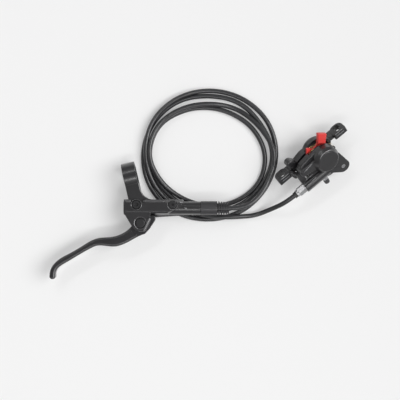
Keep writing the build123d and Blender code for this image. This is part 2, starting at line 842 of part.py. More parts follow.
# Hose fitting in the body's nose: insert, olive and connecting bolt
fitting_floor = nose_end - fitting_depth
hose_start = fitting_floor + insert_flange
olive_start = hose_start + 0.2
bolt_start = olive_start + olive_length
with BuildPart() as lever_insert:
    with BuildSketch(Plane.YZ.offset(fitting_floor)):
        with Locations(bore_axis):
            Circle(hose_radius)
    extrude(amount=insert_flange)
    with BuildSketch(Plane.YZ.offset(fitting_floor)):
        with Locations(bore_axis):
            Circle(hose_bore_radius)
    extrude(amount=insert_flange + insert_length)
    with BuildSketch(Plane.YZ.offset(fitting_floor)):
        with Locations(bore_axis):
            Circle(0.6)
    extrude(amount=insert_flange + insert_length, mode=Mode.SUBTRACT)
lever_insert.part.label = "lever_insert"
export_step(lever_insert.part, "parts/lever_insert.step")

lever_olive = bore_ring(olive_start, bolt_start, hose_radius, fitting_radius - 0.2)
lever_olive.label = "lever_olive"
export_step(lever_olive, "parts/lever_olive.step")

with BuildPart() as connecting_bolt:
    with BuildSketch(Plane.YZ.offset(bolt_start)):
        with Locations(bore_axis):
            Circle(fitting_radius)
    extrude(amount=nose_end - bolt_start)
    with BuildSketch(Plane.YZ.offset(nose_end)):
        with Locations(bore_axis):
            RegularPolygon(radius=fitting_hex / 2, side_count=6, major_radius=False)
    extrude(amount=fitting_head)
    with BuildSketch(Plane.YZ.offset(bolt_start)):
        with Locations(bore_axis):
            Circle(hose_radius + 0.1)
    extrude(amount=nose_end - bolt_start + fitting_head, mode=Mode.SUBTRACT)
connecting_bolt.part.label = "connecting_bolt"
export_step(connecting_bolt.part, "parts/connecting_bolt.step")

# Rubber sleeve over the fitting, ribbed towards the hose
boot_end = nose_end + boot_length
with BuildPart() as hose_boot:
    with BuildSketch(bore_plane):
        with BuildLine():
            Polyline(
                (nose_end, bore_y + boot_cavity_radius),
                (nose_end, bore_y + boot_radius - 0.6),
                (nose_end + 0.6, bore_y + boot_radius),
                (nose_end + 15.5, bore_y + boot_radius),
                (boot_end, bore_y + boot_radius - 1.1),
                (boot_end, bore_y + hose_radius + 0.1),
                (nose_end + boot_cavity_length, bore_y + hose_radius + 0.1),
                (nose_end + boot_cavity_length, bore_y + boot_cavity_radius),
                close=True,
            )
        make_face()
        for rib in range(boot_ribs):
            with Locations((boot_end - 1.4 - rib * rib_pitch, bore_y + boot_radius)):
                Rectangle(1.2, rib_depth, mode=Mode.SUBTRACT)
    revolve(axis=Axis((0, bore_y, bore_z), (1, 0, 0)))
    # slots along the sleeve part each rib into blocks
    with BuildSketch(Plane.YZ.offset(boot_end)):
        with Locations(bore_axis):
            with PolarLocations(boot_radius, rib_slots):
                Rectangle(rib_depth, rib_slot_width)
    extrude(amount=-(boot_ribs - 0.5) * rib_pitch - 1.4, mode=Mode.SUBTRACT)
hose_boot.part.label = "hose_boot"
export_step(hose_boot.part, "parts/hose_boot.step")

# Caliper, outer half: round piston housing, guide block, hose boss and the pad pin's lug
pad_plate_face = pad_half_gap + lining_thickness
pad_back = pad_plate_face + pad_plate_thickness
pocket_floor = pad_back + 0.15
piston_spot = (piston_x, piston_y)
pin_spot = (pin_x, pin_y)


def pad_round(grow):
    """The pad's round face and its shoulder, grown by a clearance or shrunk by an inset."""
    with BuildSketch(mode=Mode.PRIVATE) as outline:
        with Locations(piston_spot):
            Circle(pad_round_radius + grow)
        with Locations(pad_shoulder):
            Circle(pad_shoulder_radius + grow)
        make_hull()
    return outline.sketch


def pad_face(grow):
    """Outline of a brake pad, seen along the disc's axis and grown by a clearance."""
    with BuildSketch(mode=Mode.PRIVATE) as outline:
        add(pad_round(grow))
        with Locations(pad_nose):
            Circle(pad_nose_radius + grow)
        with BuildSketch(mode=Mode.PRIVATE) as tab:
            with Locations((pin_x - 4.5, piston_y - 6)):
                Circle(pad_tab_radius + grow + 1.5)
            with Locations(pin_spot):
                Circle(pad_tab_radius + grow)
            make_hull()
        add(tab.sketch)
    return outline.sketch


def pad_pocket():
    """Outline of the space for a pad, open towards the hub."""
    reach = pad_round_radius + pad_gap
    left = pad_shoulder[0] - pad_shoulder_radius - pad_gap
    with BuildSketch(mode=Mode.PRIVATE) as outline:
        add(pad_face(pad_gap))
        with Locations(((left + piston_x + reach) / 2, (pad_hub_opening + piston_y) / 2)):
            Rectangle(piston_x + reach - left, pad_hub_opening - piston_y)
    return outline.sketch


def disc_side(height):
    """Plane parallel to the disc, at a height of the caliper's own frame."""
    return caliper.offset(height)


disc_axis = Axis(caliper.origin, caliper.z_dir)


def rounded_hull(base, depth, rounds, edge):
    """Block over the hull of some circles (x, y, radius), its far edge rounded."""
    with BuildPart(mode=Mode.PRIVATE) as block:
        with BuildSketch(disc_side(base)):
            for x, y, radius in rounds:
                with Locations((x, y)):
                    Circle(radius)
            make_hull()
        extrude(amount=depth - base)
        far = -1 if depth > base else 0
        fillet(block.edges().group_by(disc_axis)[far], edge)
    return block.part


# the bar starts beside the hose's window; the step is the lower shelf round it
bar_rounds = [(-20.0, -1.4, 4.2), (piston_x - 6.0, -2.5, 6.5)]
step_rounds = [(-16.0, -0.6, 6.4), (piston_x - 6.0, piston_y + 1.5, 12.5)]
outer_block_bar = rounded_hull(channel_half, block_depth, bar_rounds, 0.9)
outer_block_step = rounded_hull(channel_half, block_depth - block_step, step_rounds, 1.6)
with BuildPart(mode=Mode.PRIVATE) as housing:
    with BuildSketch(disc_side(channel_half)):
        with Locations(piston_spot):
            Circle(housing_radius)
    extrude(amount=outer_depth - channel_half)
    chamfer(housing.edges().group_by(disc_axis)[-1], housing_cone_depth, housing_cone)
    fillet(housing.edges().group_by(disc_axis)[-1], 0.7)
outer_housing = housing.part

with BuildPart() as caliper_outer_half:
    # guide block beside the pads: a bar with a lower step round it
    add(outer_block_bar)
    add(outer_block_step)
    # housing round the piston, with a conical shoulder
    add(outer_housing)
    # bridge over the disc's edge, with the mating face
    with BuildSketch(caliper):
        with Locations(*joining_spots):
            Circle(6.0)
        with Locations((transfer_x, transfer_y)):
            Circle(6.2)
        make_hull()
    extrude(amount=boss_z)
    # lug for the pad pin
    with BuildSketch(disc_side(channel_half)):
        with Locations(pin_spot):
            Circle(7.2)
        with Locations((7.0, -18.0)):
            Circle(9.0)
        with Locations((15.0, -14.0)):
            Circle(6.5)
        make_hull()
    extrude(amount=lug_depth - channel_half)
    # hose boss along the line of the ears
    with BuildSketch(along_ears(boss_left)):
        with Locations((boss_y, boss_z)):
            Circle(boss_radius)
    extrude(amount=boss_right - boss_left)
    # web between the boss and the guide block, left open as a window near the hose
    with BuildSketch(disc_side(channel_half + 1.5)):
        with Locations((-12.4, -13.0)):
            Rectangle(10.2, 12.0)
        with Locations((-24.8, -10.0)):
            Rectangle(6.4, 18.0)
    extrude(amount=web_depth)

    # space for the pad, open towards the hub and through the lug
    with BuildSketch(caliper):
        add(pad_pocket())
    extrude(amount=pocket_floor, mode=Mode.SUBTRACT)
    # piston bore and the groove for its seal
    with BuildSketch(disc_side(pocket_floor - 0.2)):
        with Locations(piston_spot):
            Circle(caliper_piston_radius + running_gap)
    extrude(amount=caliper_bore_end - pocket_floor + 0.2, mode=Mode.SUBTRACT)
    with BuildSketch(disc_side(pocket_floor + 2.0)):
        with Locations(piston_spot):
            Circle(caliper_piston_radius + seal_ring_depth)
    extrude(amount=seal_ring_width, mode=Mode.SUBTRACT)
    # hole for the pad pin, with a recess for its head
    with BuildSketch(caliper):
        with Locations(pin_spot):
            Circle(pad_pin_radius)
    extrude(amount=lug_depth, mode=Mode.SUBTRACT)
    with BuildSketch(disc_side(lug_depth - pad_pin_head)):
        with Locations(pin_spot):
            Circle(pad_pin_head_radius)
    extrude(amount=pad_pin_head, mode=Mode.SUBTRACT)
    # threads for the joining bolts
    with BuildSketch(caliper):
        with Locations(*joining_spots):
            Circle(joining_radius)
    extrude(amount=joining_engagement + 0.5, mode=Mode.SUBTRACT)
    # fluid ways: hose thread, drilling to the bleed nipple, and the way to the other half
    with BuildSketch(along_ears(boss_left)):
        with Locations((boss_y, boss_z)):
            Circle(nut_bore_radius)
    extrude(amount=nut_bore_depth, mode=Mode.SUBTRACT)
    with BuildSketch(along_ears(boss_left)):
        with Locations((boss_y, boss_z)):
            Circle(transfer_radius)
    extrude(amount=transfer_x - boss_left + transfer_radius, mode=Mode.SUBTRACT)
    with BuildSketch(caliper):
        with Locations((transfer_x, transfer_y)):
            Circle(transfer_radius)
    extrude(amount=boss_z, mode=Mode.SUBTRACT)
    with BuildSketch(along_hub(nipple_seat_y)):
        with Locations((-nipple_x, boss_z)):
            Circle(transfer_radius)
    extrude(amount=piston_y - nipple_seat_y - 6, mode=Mode.SUBTRACT)
    with BuildSketch(along_hub(nipple_seat_y - 6)):
        with Locations((-nipple_x, boss_z)):
            Circle(nipple_radius)
    extrude(amount=8.5, mode=Mode.SUBTRACT)
    with BuildSketch(along_hub(nipple_seat_y)):
        with Locations((-nipple_x, boss_z)):
            Circle(nipple_hex / 2 + nipple_face_gap)
    extrude(amount=-nipple_length, mode=Mode.SUBTRACT)
    # groove for the ring round the transfer way
    with BuildSketch(caliper):
        with Locations((transfer_x, transfer_y)):
            Circle(transfer_radius + 1.6)
    extrude(amount=0.6, mode=Mode.SUBTRACT)
caliper_outer_half.part.label = "caliper_outer_half"
export_step(caliper_outer_half.part, "parts/caliper_outer_half.step")

hub_axis = Axis(caliper.origin, caliper.y_dir)


def mount_ear(middle):
    """Ear of the inner half: round towards the frame, straight beside the disc, edges broken."""
    far = ear_z - ear_width / 2 + ear_round
    near = ear_z + ear_width / 2 - ear_corner
    with BuildPart(mode=Mode.PRIVATE) as ear:
        with BuildSketch(along_hub(ear_y - ear_thickness / 2)):
            for way in (-1, 1):
                with Locations((-middle + way * (ear_length / 2 - ear_round), far)):
                    Circle(ear_round)
                with Locations((-middle + way * (ear_length / 2 - ear_corner), near)):
                    Circle(ear_corner)
            make_hull()
        extrude(amount=ear_thickness)
        chamfer(ear.edges().group_by(hub_axis)[-1], 0.6)
    return ear.part


# Caliper, inner half: slab with the slotted ears, its piston housing and the lower lug
inner_knob = rounded_hull(-inner_slab_depth + 1.5, -channel_half, [(-25.0, 6.4, 4.0), (-19.0, -1.0, 3.0)], 1.4)
with BuildPart() as caliper_inner_half:
    # slab that carries the ears
    with BuildSketch(disc_side(-channel_half)):
        for x, y, radius in ((-21.0, -2.6, 5.0), (-8.0, -5.5, 11.5), (piston_x + 8, piston_y + 2, 9.0)):
            with Locations((x, y)):
                Circle(radius)
        make_hull()
    extrude(amount=channel_half - inner_slab_depth)
    fillet(edges().group_by(disc_axis)[0], 1.2)
    # piston housing
    with BuildSketch(disc_side(-channel_half)):
        with Locations(piston_spot):
            Circle(housing_radius)
    extrude(amount=channel_half - inner_depth)
    fillet(edges().group_by(disc_axis)[0], 5.0)
    # knob beside the slot
    add(inner_knob)
    # bridge and its mating face
    with BuildSketch(caliper):
        with Locations(*joining_spots):
            Circle(6.0)
        with Locations((transfer_x, transfer_y)):
            Circle(6.2)
        make_hull()
    extrude(amount=-inner_slab_depth)
    # lug under the pad pin
    with BuildSketch(disc_side(-channel_half)):
        with Locations((pin_x, pin_y + 1.0)):
            Circle(5.8)
        with Locations((8.0, -18.0)):
            Circle(8.0)
        with Locations((15.0, -14.0)):
            Circle(6.0)
        make_hull()
    extrude(amount=channel_half - inner_lug_depth)
    # ears, each with its slot
    for side in (-1, 1):
        ear_middle = ear_shift + side * ear_spacing / 2
        add(mount_ear(ear_middle))
        with BuildSketch(along_hub(ear_y - arm_height / 2)):
            with Locations((-(side * arm_start + ear_middle) / 2, arm_z)):
                Rectangle(abs(ear_middle) - arm_start, arm_depth)
        extrude(amount=arm_height)
        with BuildSketch(along_hub(ear_y - ear_thickness)):
            with Locations((-ear_middle, ear_z)):
                SlotOverall(mount_slot_length, 2 * mount_slot_radius, rotation=90)
        extrude(amount=2 * ear_thickness, mode=Mode.SUBTRACT)

    with BuildSketch(caliper):
        add(pad_pocket())
    extrude(amount=-pocket_floor, mode=Mode.SUBTRACT)
    with BuildSketch(disc_side(0.2 - pocket_floor)):
        with Locations(piston_spot):
            Circle(caliper_piston_radius + running_gap)
    extrude(amount=pocket_floor - 0.2 - caliper_bore_end, mode=Mode.SUBTRACT)
    with BuildSketch(disc_side(-pocket_floor - 2.0)):
        with Locations(piston_spot):
            Circle(caliper_piston_radius + seal_ring_depth)
    extrude(amount=-seal_ring_width, mode=Mode.SUBTRACT)
    with BuildSketch(caliper):
        with Locations(pin_spot):
            Circle(pad_pin_radius)
    extrude(amount=-inner_lug_depth, mode=Mode.SUBTRACT)
    with BuildSketch(caliper):
        with Locations(*joining_spots):
            Circle(joining_radius + bolt_clearance)
    extrude(amount=-inner_slab_depth, mode=Mode.SUBTRACT)
    with BuildSketch(disc_side(joining_head - inner_slab_depth)):
        with Locations(*joining_spots):
            Circle(joining_head_radius + 0.3)
    extrude(amount=-joining_head, mode=Mode.SUBTRACT)
    with BuildSketch(caliper):
        with Locations((transfer_x, transfer_y)):
            Circle(transfer_radius)
    extrude(amount=transfer_depth, mode=Mode.SUBTRACT)
caliper_inner_half.part.label = "caliper_inner_half"
export_step(caliper_inner_half.part, "parts/caliper_inner_half.step")

# Pistons, seals and pads: one of each on both sides of the disc
for side, name in ((1, "outer"), (-1, "inner")):
    with BuildPart() as piston:
        with BuildSketch(disc_side(side * pad_back)):
            with Locations(piston_spot):
                Circle(caliper_piston_radius)
        extrude(amount=side * caliper_piston_length)
        with BuildSketch(disc_side(side * pad_back)):
            with Locations(piston_spot):
                Circle(piston_cup_radius)
        extrude(amount=side * piston_cup_depth, mode=Mode.SUBTRACT)
    piston.part.label = name + "_piston"
    export_step(piston.part, "parts/" + name + "_piston.step")

    with BuildPart() as piston_seal:
        with BuildSketch(disc_side(side * (pocket_floor + 2.05))):
            with Locations(piston_spot):
                Circle(caliper_piston_radius + seal_ring_depth - 0.05)
                Circle(caliper_piston_radius + 0.02, mode=Mode.SUBTRACT)
        extrude(amount=side * (seal_ring_width - 0.1))
    piston_seal.part.label = name + "_piston_seal"
    export_step(piston_seal.part, "parts/" + name + "_piston_seal.step")

    with BuildPart() as pad_plate:
        with BuildSketch(disc_side(side * pad_plate_face)):
            add(pad_face(0))
            with Locations(pin_spot):
                Circle(pad_pin_radius + 0.3, mode=Mode.SUBTRACT)
        extrude(amount=side * pad_plate_thickness)
    pad_plate.part.label = name + "_pad_plate"
    export_step(pad_plate.part, "parts/" + name + "_pad_plate.step")

    with BuildPart() as pad_lining:
        with BuildSketch(disc_side(side * pad_half_gap)):
            add(pad_round(-lining_inset))
        extrude(amount=side * lining_thickness)
        with BuildSketch(disc_side(side * pad_half_gap)):
            with Locations((piston_x, piston_y)):
                Rectangle(0.9, 3 * pad_round_radius)
        extrude(amount=side * (lining_thickness - 0.5), mode=Mode.SUBTRACT)
    pad_lining.part.label = name + "_pad_lining"
    export_step(pad_lining.part, "parts/" + name + "_pad_lining.step")

# Pad spring: two thin legs in the ledge round the linings, joined by a bridge
spring_leg = 0.4
leg_inner_inset = lining_inset - 0.3
leg_outer_inset = 0.2
leg_outer = pad_round_radius - leg_outer_inset
leg_face = 2.45
spring_eye = 3.0
with BuildPart() as pad_spring:
    for side in (-1, 1):
        with BuildSketch(disc_side(side * leg_face)):
            add(pad_round(-leg_outer_inset))
            with Locations(pad_nose):
                Circle(pad_nose_radius - leg_outer_inset)
            with BuildSketch(mode=Mode.PRIVATE) as eye:
                with Locations(pin_spot, (pin_x - 4.5, piston_y - 6)):
                    Circle(spring_eye)
                make_hull()
            add(eye.sketch)
            add(pad_round(-leg_inner_inset), mode=Mode.SUBTRACT)
            # open towards the hub beyond the shoulder
            with Locations((piston_x + 18.0, piston_y + 20.8)):
                Rectangle(40.0, 40.0, mode=Mode.SUBTRACT)
            with Locations(pin_spot):
                Circle(pad_pin_radius, mode=Mode.SUBTRACT)
        extrude(amount=side * spring_leg)
    with BuildSketch(disc_side(-leg_face - spring_leg)):
        with Locations(piston_spot):
            Circle(leg_outer)
            Circle(leg_outer - spring_leg, mode=Mode.SUBTRACT)
        with Locations((piston_x, piston_y + 11)):
            Rectangle(2 * leg_outer + 1, 44, mode=Mode.SUBTRACT)
    extrude(amount=2 * (leg_face + spring_leg))
pad_spring.part.label = "pad_spring"
export_step(pad_spring.part, "parts/pad_spring.step")

# Pad pin through both lugs, with its clip under the lower one
with BuildPart() as pad_pin:
    with BuildSketch(disc_side(-inner_lug_depth - 1.6)):
        with Locations(pin_spot):
            Circle(pad_pin_radius)
    extrude(amount=inner_lug_depth + 1.6 + lug_depth - pad_pin_head)
    with BuildSketch(disc_side(lug_depth - pad_pin_head)):
        with Locations(pin_spot):
            Circle(pad_pin_head_radius)
    extrude(amount=pad_pin_head - 0.2)
    with BuildSketch(disc_side(lug_depth - 1.0)):
        with Locations(pin_spot):
            Rectangle(2 * pad_pin_head_radius + 1, 0.8)
    extrude(amount=1, mode=Mode.SUBTRACT)
    with BuildSketch(disc_side(-inner_lug_depth - 0.7)):
        with Locations(pin_spot):
            Circle(pad_pin_radius)
            Circle(pad_pin_radius - 0.4, mode=Mode.SUBTRACT)
    extrude(amount=0.6, mode=Mode.SUBTRACT)
pad_pin.part.label = "pad_pin"
export_step(pad_pin.part, "parts/pad_pin.step")

with BuildPart() as pad_pin_clip:
    with BuildSketch(disc_side(-inner_lug_depth - 0.7)):
        with Locations(pin_spot):
            Circle(pad_pin_radius + 1.3)
            Circle(pad_pin_radius - 0.4, mode=Mode.SUBTRACT)
        with Locations((pin_x, pin_y - pad_pin_radius - 0.6)):
            Rectangle(1.8, 2.6, mode=Mode.SUBTRACT)
    extrude(amount=0.6)
pad_pin_clip.part.label = "pad_pin_clip"
export_step(pad_pin_clip.part, "parts/pad_pin_clip.step")

# Spacer between the linings: a thin plate with a small ear, and the thick handle outside the slot
spacer_plate = [
    (-3.6, -8.0), (0.0, -13.0), (12.0, -13.0), (16.0, -8.0), (17.4, -0.4), (16.4, 6.6), (12.0, 11.0),
    (7.0, 6.2), (1.4, 6.2), (0.5, 8.8), (-2.7, 12.2), (-6.6, 4.9), (-3.6, 1.6),
]
handle = [(9.3, 12.3), (14.3, 22.7), (22.1, 14.6), (16.0, 5.9)]
handle_top = 6.0
handle_underside = 2.5
handle_neck = [(11.6, 9.2, 1.8), (13.6, 8.2, 1.6)]
with BuildPart() as pad_spacer:
    with BuildSketch(disc_side(-spacer_half)):
        with BuildLine():
            Polyline(*spacer_plate, close=True)
        make_face()
        fillet(vertices(), 0.6)
    extrude(amount=2 * spacer_half)
    with BuildSketch(disc_side(-spacer_half)):
        for x, y, radius in handle_neck:
            with Locations((x, y)):
                Circle(radius)
        make_hull()
    extrude(amount=handle_underside + spacer_half)
    with BuildSketch(disc_side(handle_underside)):
        with BuildLine():
            Polyline(*handle, close=True)
        make_face()
        fillet(vertices(), 0.9)
    extrude(amount=handle_top - handle_underside)
    chamfer(edges().group_by(disc_axis)[-1], 0.6)
pad_spacer.part.label = "pad_spacer"
export_step(pad_spacer.part, "parts/pad_spacer.step")

# Joining bolts, put in from the inner half, and the ring between the halves
with BuildPart() as joining_bolts:
    with BuildSketch(disc_side(joining_head - inner_slab_depth)):
        with Locations(*joining_spots):
            Circle(joining_radius)
    extrude(amount=inner_slab_depth - joining_head + joining_engagement)
    with BuildSketch(disc_side(joining_head - inner_slab_depth)):
        with Locations(*joining_spots):
            Circle(joining_head_radius)
    extrude(amount=0.5 - joining_head)
    with BuildSketch(disc_side(2.5 - inner_slab_depth)):
        with Locations(*joining_spots):
            RegularPolygon(radius=2.0, side_count=6, major_radius=False)
    extrude(amount=-2.5, mode=Mode.SUBTRACT)
joining_bolts.part.label = "joining_bolts"
export_step(joining_bolts.part, "parts/joining_bolts.step")

with BuildPart() as transfer_o_ring:
    with BuildSketch(caliper):
        with Locations((transfer_x, transfer_y)):
            Circle(transfer_radius + 1.55)
            Circle(transfer_radius + 0.2, mode=Mode.SUBTRACT)
    extrude(amount=0.6)
transfer_o_ring.part.label = "transfer_o_ring"
export_step(transfer_o_ring.part, "parts/transfer_o_ring.step")

# Bleed nipple and its rubber cap
nipple_plane = along_hub(nipple_seat_y)
with BuildPart() as bleed_nipple:
    with BuildSketch(nipple_plane.offset(1.6)):
        with Locations((-nipple_x, boss_z)):
            Circle(nipple_radius)
    extrude(amount=-3.0)
    with BuildSketch(nipple_plane.offset(-0.4)):
        with Locations((-nipple_x, boss_z)):
            RegularPolygon(radius=nipple_hex / 2, side_count=6, major_radius=False)
    extrude(amount=-2.6)
    with BuildSketch(nipple_plane.offset(-3.0)):
        with Locations((-nipple_x, boss_z)):
            Circle(1.5)
    extrude(amount=3.0 - nipple_length)
    with BuildSketch(nipple_plane.offset(1.6)):
        with Locations((-nipple_x, boss_z)):
            Circle(0.6)
    extrude(amount=-nipple_length, mode=Mode.SUBTRACT)
bleed_nipple.part.label = "bleed_nipple"
export_step(bleed_nipple.part, "parts/bleed_nipple.step")

with BuildPart() as bleed_cap:
    with BuildSketch(nipple_plane.offset(-3.1)):
        with Locations((-nipple_x, boss_z)):
            Circle(bleed_cap_radius)
    extrude(amount=1.9 - nipple_length)
    fillet(edges().group_by(Axis(caliper.origin, caliper.y_dir))[0], 0.9)
    with BuildSketch(nipple_plane.offset(-3.1)):
        with Locations((-nipple_x, boss_z)):
            Circle(1.5)
    extrude(amount=3.0 - nipple_length, mode=Mode.SUBTRACT)
bleed_cap.part.label = "bleed_cap"
export_step(bleed_cap.part, "parts/bleed_cap.step")

# Hose fitting at the caliper: insert, olive, flare nut and the collar behind it
nut_floor = boss_left + nut_bore_depth
tail_end = nut_floor - insert_flange
caliper_bolt_tip = tail_end - 0.2 - olive_length
nut_end = boss_left - nut_length
ferrule_end = nut_end - ferrule_length
boss_spot = (boss_y, boss_z)
with BuildPart() as caliper_insert:
    with BuildSketch(along_ears(nut_floor)):
        with Locations(boss_spot):
            Circle(hose_radius)
    extrude(amount=-insert_flange)
    with BuildSketch(along_ears(nut_floor)):
        with Locations(boss_spot):
            Circle(hose_bore_radius)
    extrude(amount=-insert_flange - insert_length)
    with BuildSketch(along_ears(nut_floor)):
        with Locations(boss_spot):
            Circle(0.6)
    extrude(amount=-insert_flange - insert_length, mode=Mode.SUBTRACT)
caliper_insert.part.label = "caliper_insert"
export_step(caliper_insert.part, "parts/caliper_insert.step")

with BuildPart() as caliper_olive:
    with BuildSketch(along_ears(caliper_bolt_tip)):
        with Locations(boss_spot):
            Circle(nut_bore_radius - 0.2)
            Circle(hose_radius, mode=Mode.SUBTRACT)
    extrude(amount=olive_length)
caliper_olive.part.label = "caliper_olive"
export_step(caliper_olive.part, "parts/caliper_olive.step")

with BuildPart() as hose_nut:
    with BuildSketch(along_ears(caliper_bolt_tip)):
        with Locations(boss_spot):
            Circle(nut_bore_radius)
    extrude(amount=boss_left - caliper_bolt_tip)
    with BuildSketch(along_ears(boss_left)):
        with Locations(boss_spot):
            RegularPolygon(radius=nut_hex / 2, side_count=6, major_radius=False)
    extrude(amount=2.5 - nut_length)
    with BuildSketch(along_ears(boss_left)):
        with Locations(boss_spot):
            Circle(nut_hex / 2 - 0.4)
    extrude(amount=-nut_length)
    with BuildSketch(along_ears(nut_end)):
        with Locations(boss_spot):
            Circle(hose_radius + 0.1)
    extrude(amount=caliper_bolt_tip - nut_end, mode=Mode.SUBTRACT)
hose_nut.part.label = "hose_nut"
export_step(hose_nut.part, "parts/hose_nut.step")

with BuildPart() as hose_ferrule:
    with BuildSketch(along_ears(ferrule_end)):
        with Locations(boss_spot):
            Circle(ferrule_radius)
            Circle(hose_radius, mode=Mode.SUBTRACT)
    extrude(amount=ferrule_length)
hose_ferrule.part.label = "hose_ferrule"
export_step(hose_ferrule.part, "parts/hose_ferrule.step")

# The hose: two stretches of tube and the loose coil between them. It lies on the table, runs up on
# its own turns where it comes from the lever, and rises to the caliper's boss at its other end.
floor_z = table_height + hose_radius
second_z = floor_z + 2 * hose_radius
lead_route = [
    (90.0, bore_y, bore_z),
    (103.0, bore_y, bore_z),
    (116.0, -32.9, 4.2),
    (129.0, -27.5, 2.6),
    (142.3, -11.3, -2.2),
    (147.5, 4.0, second_z),
]
straight_exit = 10.0
tail_exit = [tuple(spot(x, boss_y, boss_z)) for x in (ferrule_end + straight_exit, ferrule_end - straight_exit)]
tail_route = tail_exit + [
    (147.0, -34.8, -5.6),
    (131.0, -41.3, -11.0),
    (114.0, -42.6, -7.8),
    (98.4, -43.1, -5.8),
]


def hose_radii(route):
    """Radius of the arc at each corner: 0.45 of the shorter run over the tangent of half the turn."""
    points = [Vector(*point) for point in route]
    radii = []
    for before, corner, after in zip(points, points[1:], points[2:]):
        turn = math.radians((corner - before).get_angle(after - corner))
        shorter = min((corner - before).length, (after - corner).length)
        radii.append(0.45 * shorter / math.tan(turn / 2))
    return radii


for name, route, stub_start, stub_plane in (
    ("hose_lead", lead_route, hose_start, None),
    ("hose_tail", tail_route, tail_end, None),
):
    radii = hose_radii(route)
    print(name, "radii", [round(radius, 1) for radius in radii])
    with BuildPart() as tube:
        with BuildLine():
            path = FilletPolyline(*route, radius=radii)
        start = Plane(origin=path @ 0, z_dir=path % 0)
        with BuildSketch(start):
            Circle(hose_radius)
        sweep(path=path)
        # hidden end inside the fitting, with the bore that the insert fills
        if name == "hose_lead":
            hidden = route[0][0] - stub_start
        else:
            hidden = stub_start - ferrule_end - straight_exit
        with BuildSketch(start):
            Circle(hose_radius)
        extrude(amount=-hidden)
        with BuildSketch(start.offset(-hidden)):
            Circle(hose_bore_radius)
        extrude(amount=insert_length, mode=Mode.SUBTRACT)
    section = math.pi * hose_radius ** 2
    print(name, "length", round(path.length, 1), "volume", round(tube.part.volume, 1))
    print(name, "section times length", round(section * (path.length + hidden), 1))
    tube.part.label = name
    export_step(tube.part, "parts/" + name + ".step")
    if name == "hose_lead":
        hose_lead = tube.part
    else:
        hose_tail = tube.part

# Outer shape of the four loose turns: two turns high, one turn high where the lever's body lies over them
coil_middle = (82.7, 23.1)
coil_outer = (72.3, 69.2)
coil_hole_middle = (80.8, 22.3)
coil_hole = (57.4, 48.0)
coil_left = coil_middle[0] - coil_outer[0]
coil_front = coil_middle[1] - coil_outer[1]
two_high = table_height + 4 * hose_radius
one_high = table_height + 2 * hose_radius
one_high_right = body_end + 10.0
slope_start = body_back + 22.3
slope_end = body_back + 5.3
with BuildPart() as hose_coil:
    with BuildSketch(Plane.XY.offset(table_height)):
        with Locations(coil_middle):
            Ellipse(*coil_outer)
        with Locations(coil_hole_middle):
            Ellipse(*coil_hole, mode=Mode.SUBTRACT)
    extrude(amount=4 * hose_radius)
    with BuildSketch(Plane.YZ.offset(coil_left)):
        with BuildLine():
            Polyline(
                (slope_start, two_high),
                (slope_end, one_high),
                (coil_front, one_high),
                (coil_front, two_high),
                close=True,
            )
        make_face()
    extrude(amount=one_high_right - coil_left, mode=Mode.SUBTRACT)
    add(hose_lead, mode=Mode.SUBTRACT)
    add(hose_tail, mode=Mode.SUBTRACT)
hose_coil.part.label = "hose_coil"
export_step(hose_coil.part, "parts/hose_coil.step")
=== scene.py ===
# %% [markdown]
# # A bicycle's hydraulic disc brake
#
# The brake lies on a pale table and is seen from straight above: the lever with its handlebar
# clamp on the left, the hose in four loose turns, and the caliper on the right. The hard pieces come
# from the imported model, which fixes every size and place. This lesson dresses them: it adds the
# light, the camera, the soft hose, finishes for every surface, and the small forms that are finer
# than the model's.

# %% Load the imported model
import json
import math

import bpy
import numpy as np
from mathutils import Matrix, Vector


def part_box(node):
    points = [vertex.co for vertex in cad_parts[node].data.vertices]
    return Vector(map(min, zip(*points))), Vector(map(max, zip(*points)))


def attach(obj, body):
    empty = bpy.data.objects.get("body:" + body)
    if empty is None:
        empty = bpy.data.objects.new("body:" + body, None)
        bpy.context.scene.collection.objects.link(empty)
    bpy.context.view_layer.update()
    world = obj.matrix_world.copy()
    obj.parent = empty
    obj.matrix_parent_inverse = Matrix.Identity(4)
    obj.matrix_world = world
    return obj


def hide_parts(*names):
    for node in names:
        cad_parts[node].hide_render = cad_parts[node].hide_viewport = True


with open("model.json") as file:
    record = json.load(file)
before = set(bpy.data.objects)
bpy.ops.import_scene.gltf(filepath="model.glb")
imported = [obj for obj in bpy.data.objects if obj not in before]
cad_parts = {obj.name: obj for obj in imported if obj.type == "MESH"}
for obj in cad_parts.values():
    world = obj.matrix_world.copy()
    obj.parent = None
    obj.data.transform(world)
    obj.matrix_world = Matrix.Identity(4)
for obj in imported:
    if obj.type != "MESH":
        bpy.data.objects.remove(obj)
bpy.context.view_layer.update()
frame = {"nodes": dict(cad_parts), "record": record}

# %% [markdown]
# ## Shader maths as plain Python
#
# The room and every finish below are built from nodes. Linking Math nodes by hand is slow to read, so
# one small class wraps a socket: adding or multiplying two of them makes the node. Any other node
# comes from one method that takes its type, its settings and its inputs.


# %% A socket that does sums
class Wire:
    """A socket of the node tree being built; + - * make Math nodes."""

    def __init__(self, board, socket):
        self.board = board
        self.socket = socket

    def _sum(self, operation, first, second):
        return self.board.node("ShaderNodeMath", {"operation": operation}, {0: first, 1: second})

    def __add__(self, other):
        return self._sum("ADD", self, other)

    __radd__ = __add__

    def __sub__(self, other):
        return self._sum("SUBTRACT", self, other)

    def __rsub__(self, other):
        return self._sum("SUBTRACT", other, self)

    def __mul__(self, other):
        return self._sum("MULTIPLY", self, other)

    __rmul__ = __mul__

    def between(self, low, high):
        """0 up to low, 1 from high on, and a smooth step between them."""
        return self.board.node(
            "ShaderNodeMapRange",
            {"interpolation_type": "SMOOTHSTEP"},
            {"Value": self, "From Min": low, "From Max": high},
        )


# %% A tree of nodes, and a finish made of one
BEVEL_SAMPLES = 6


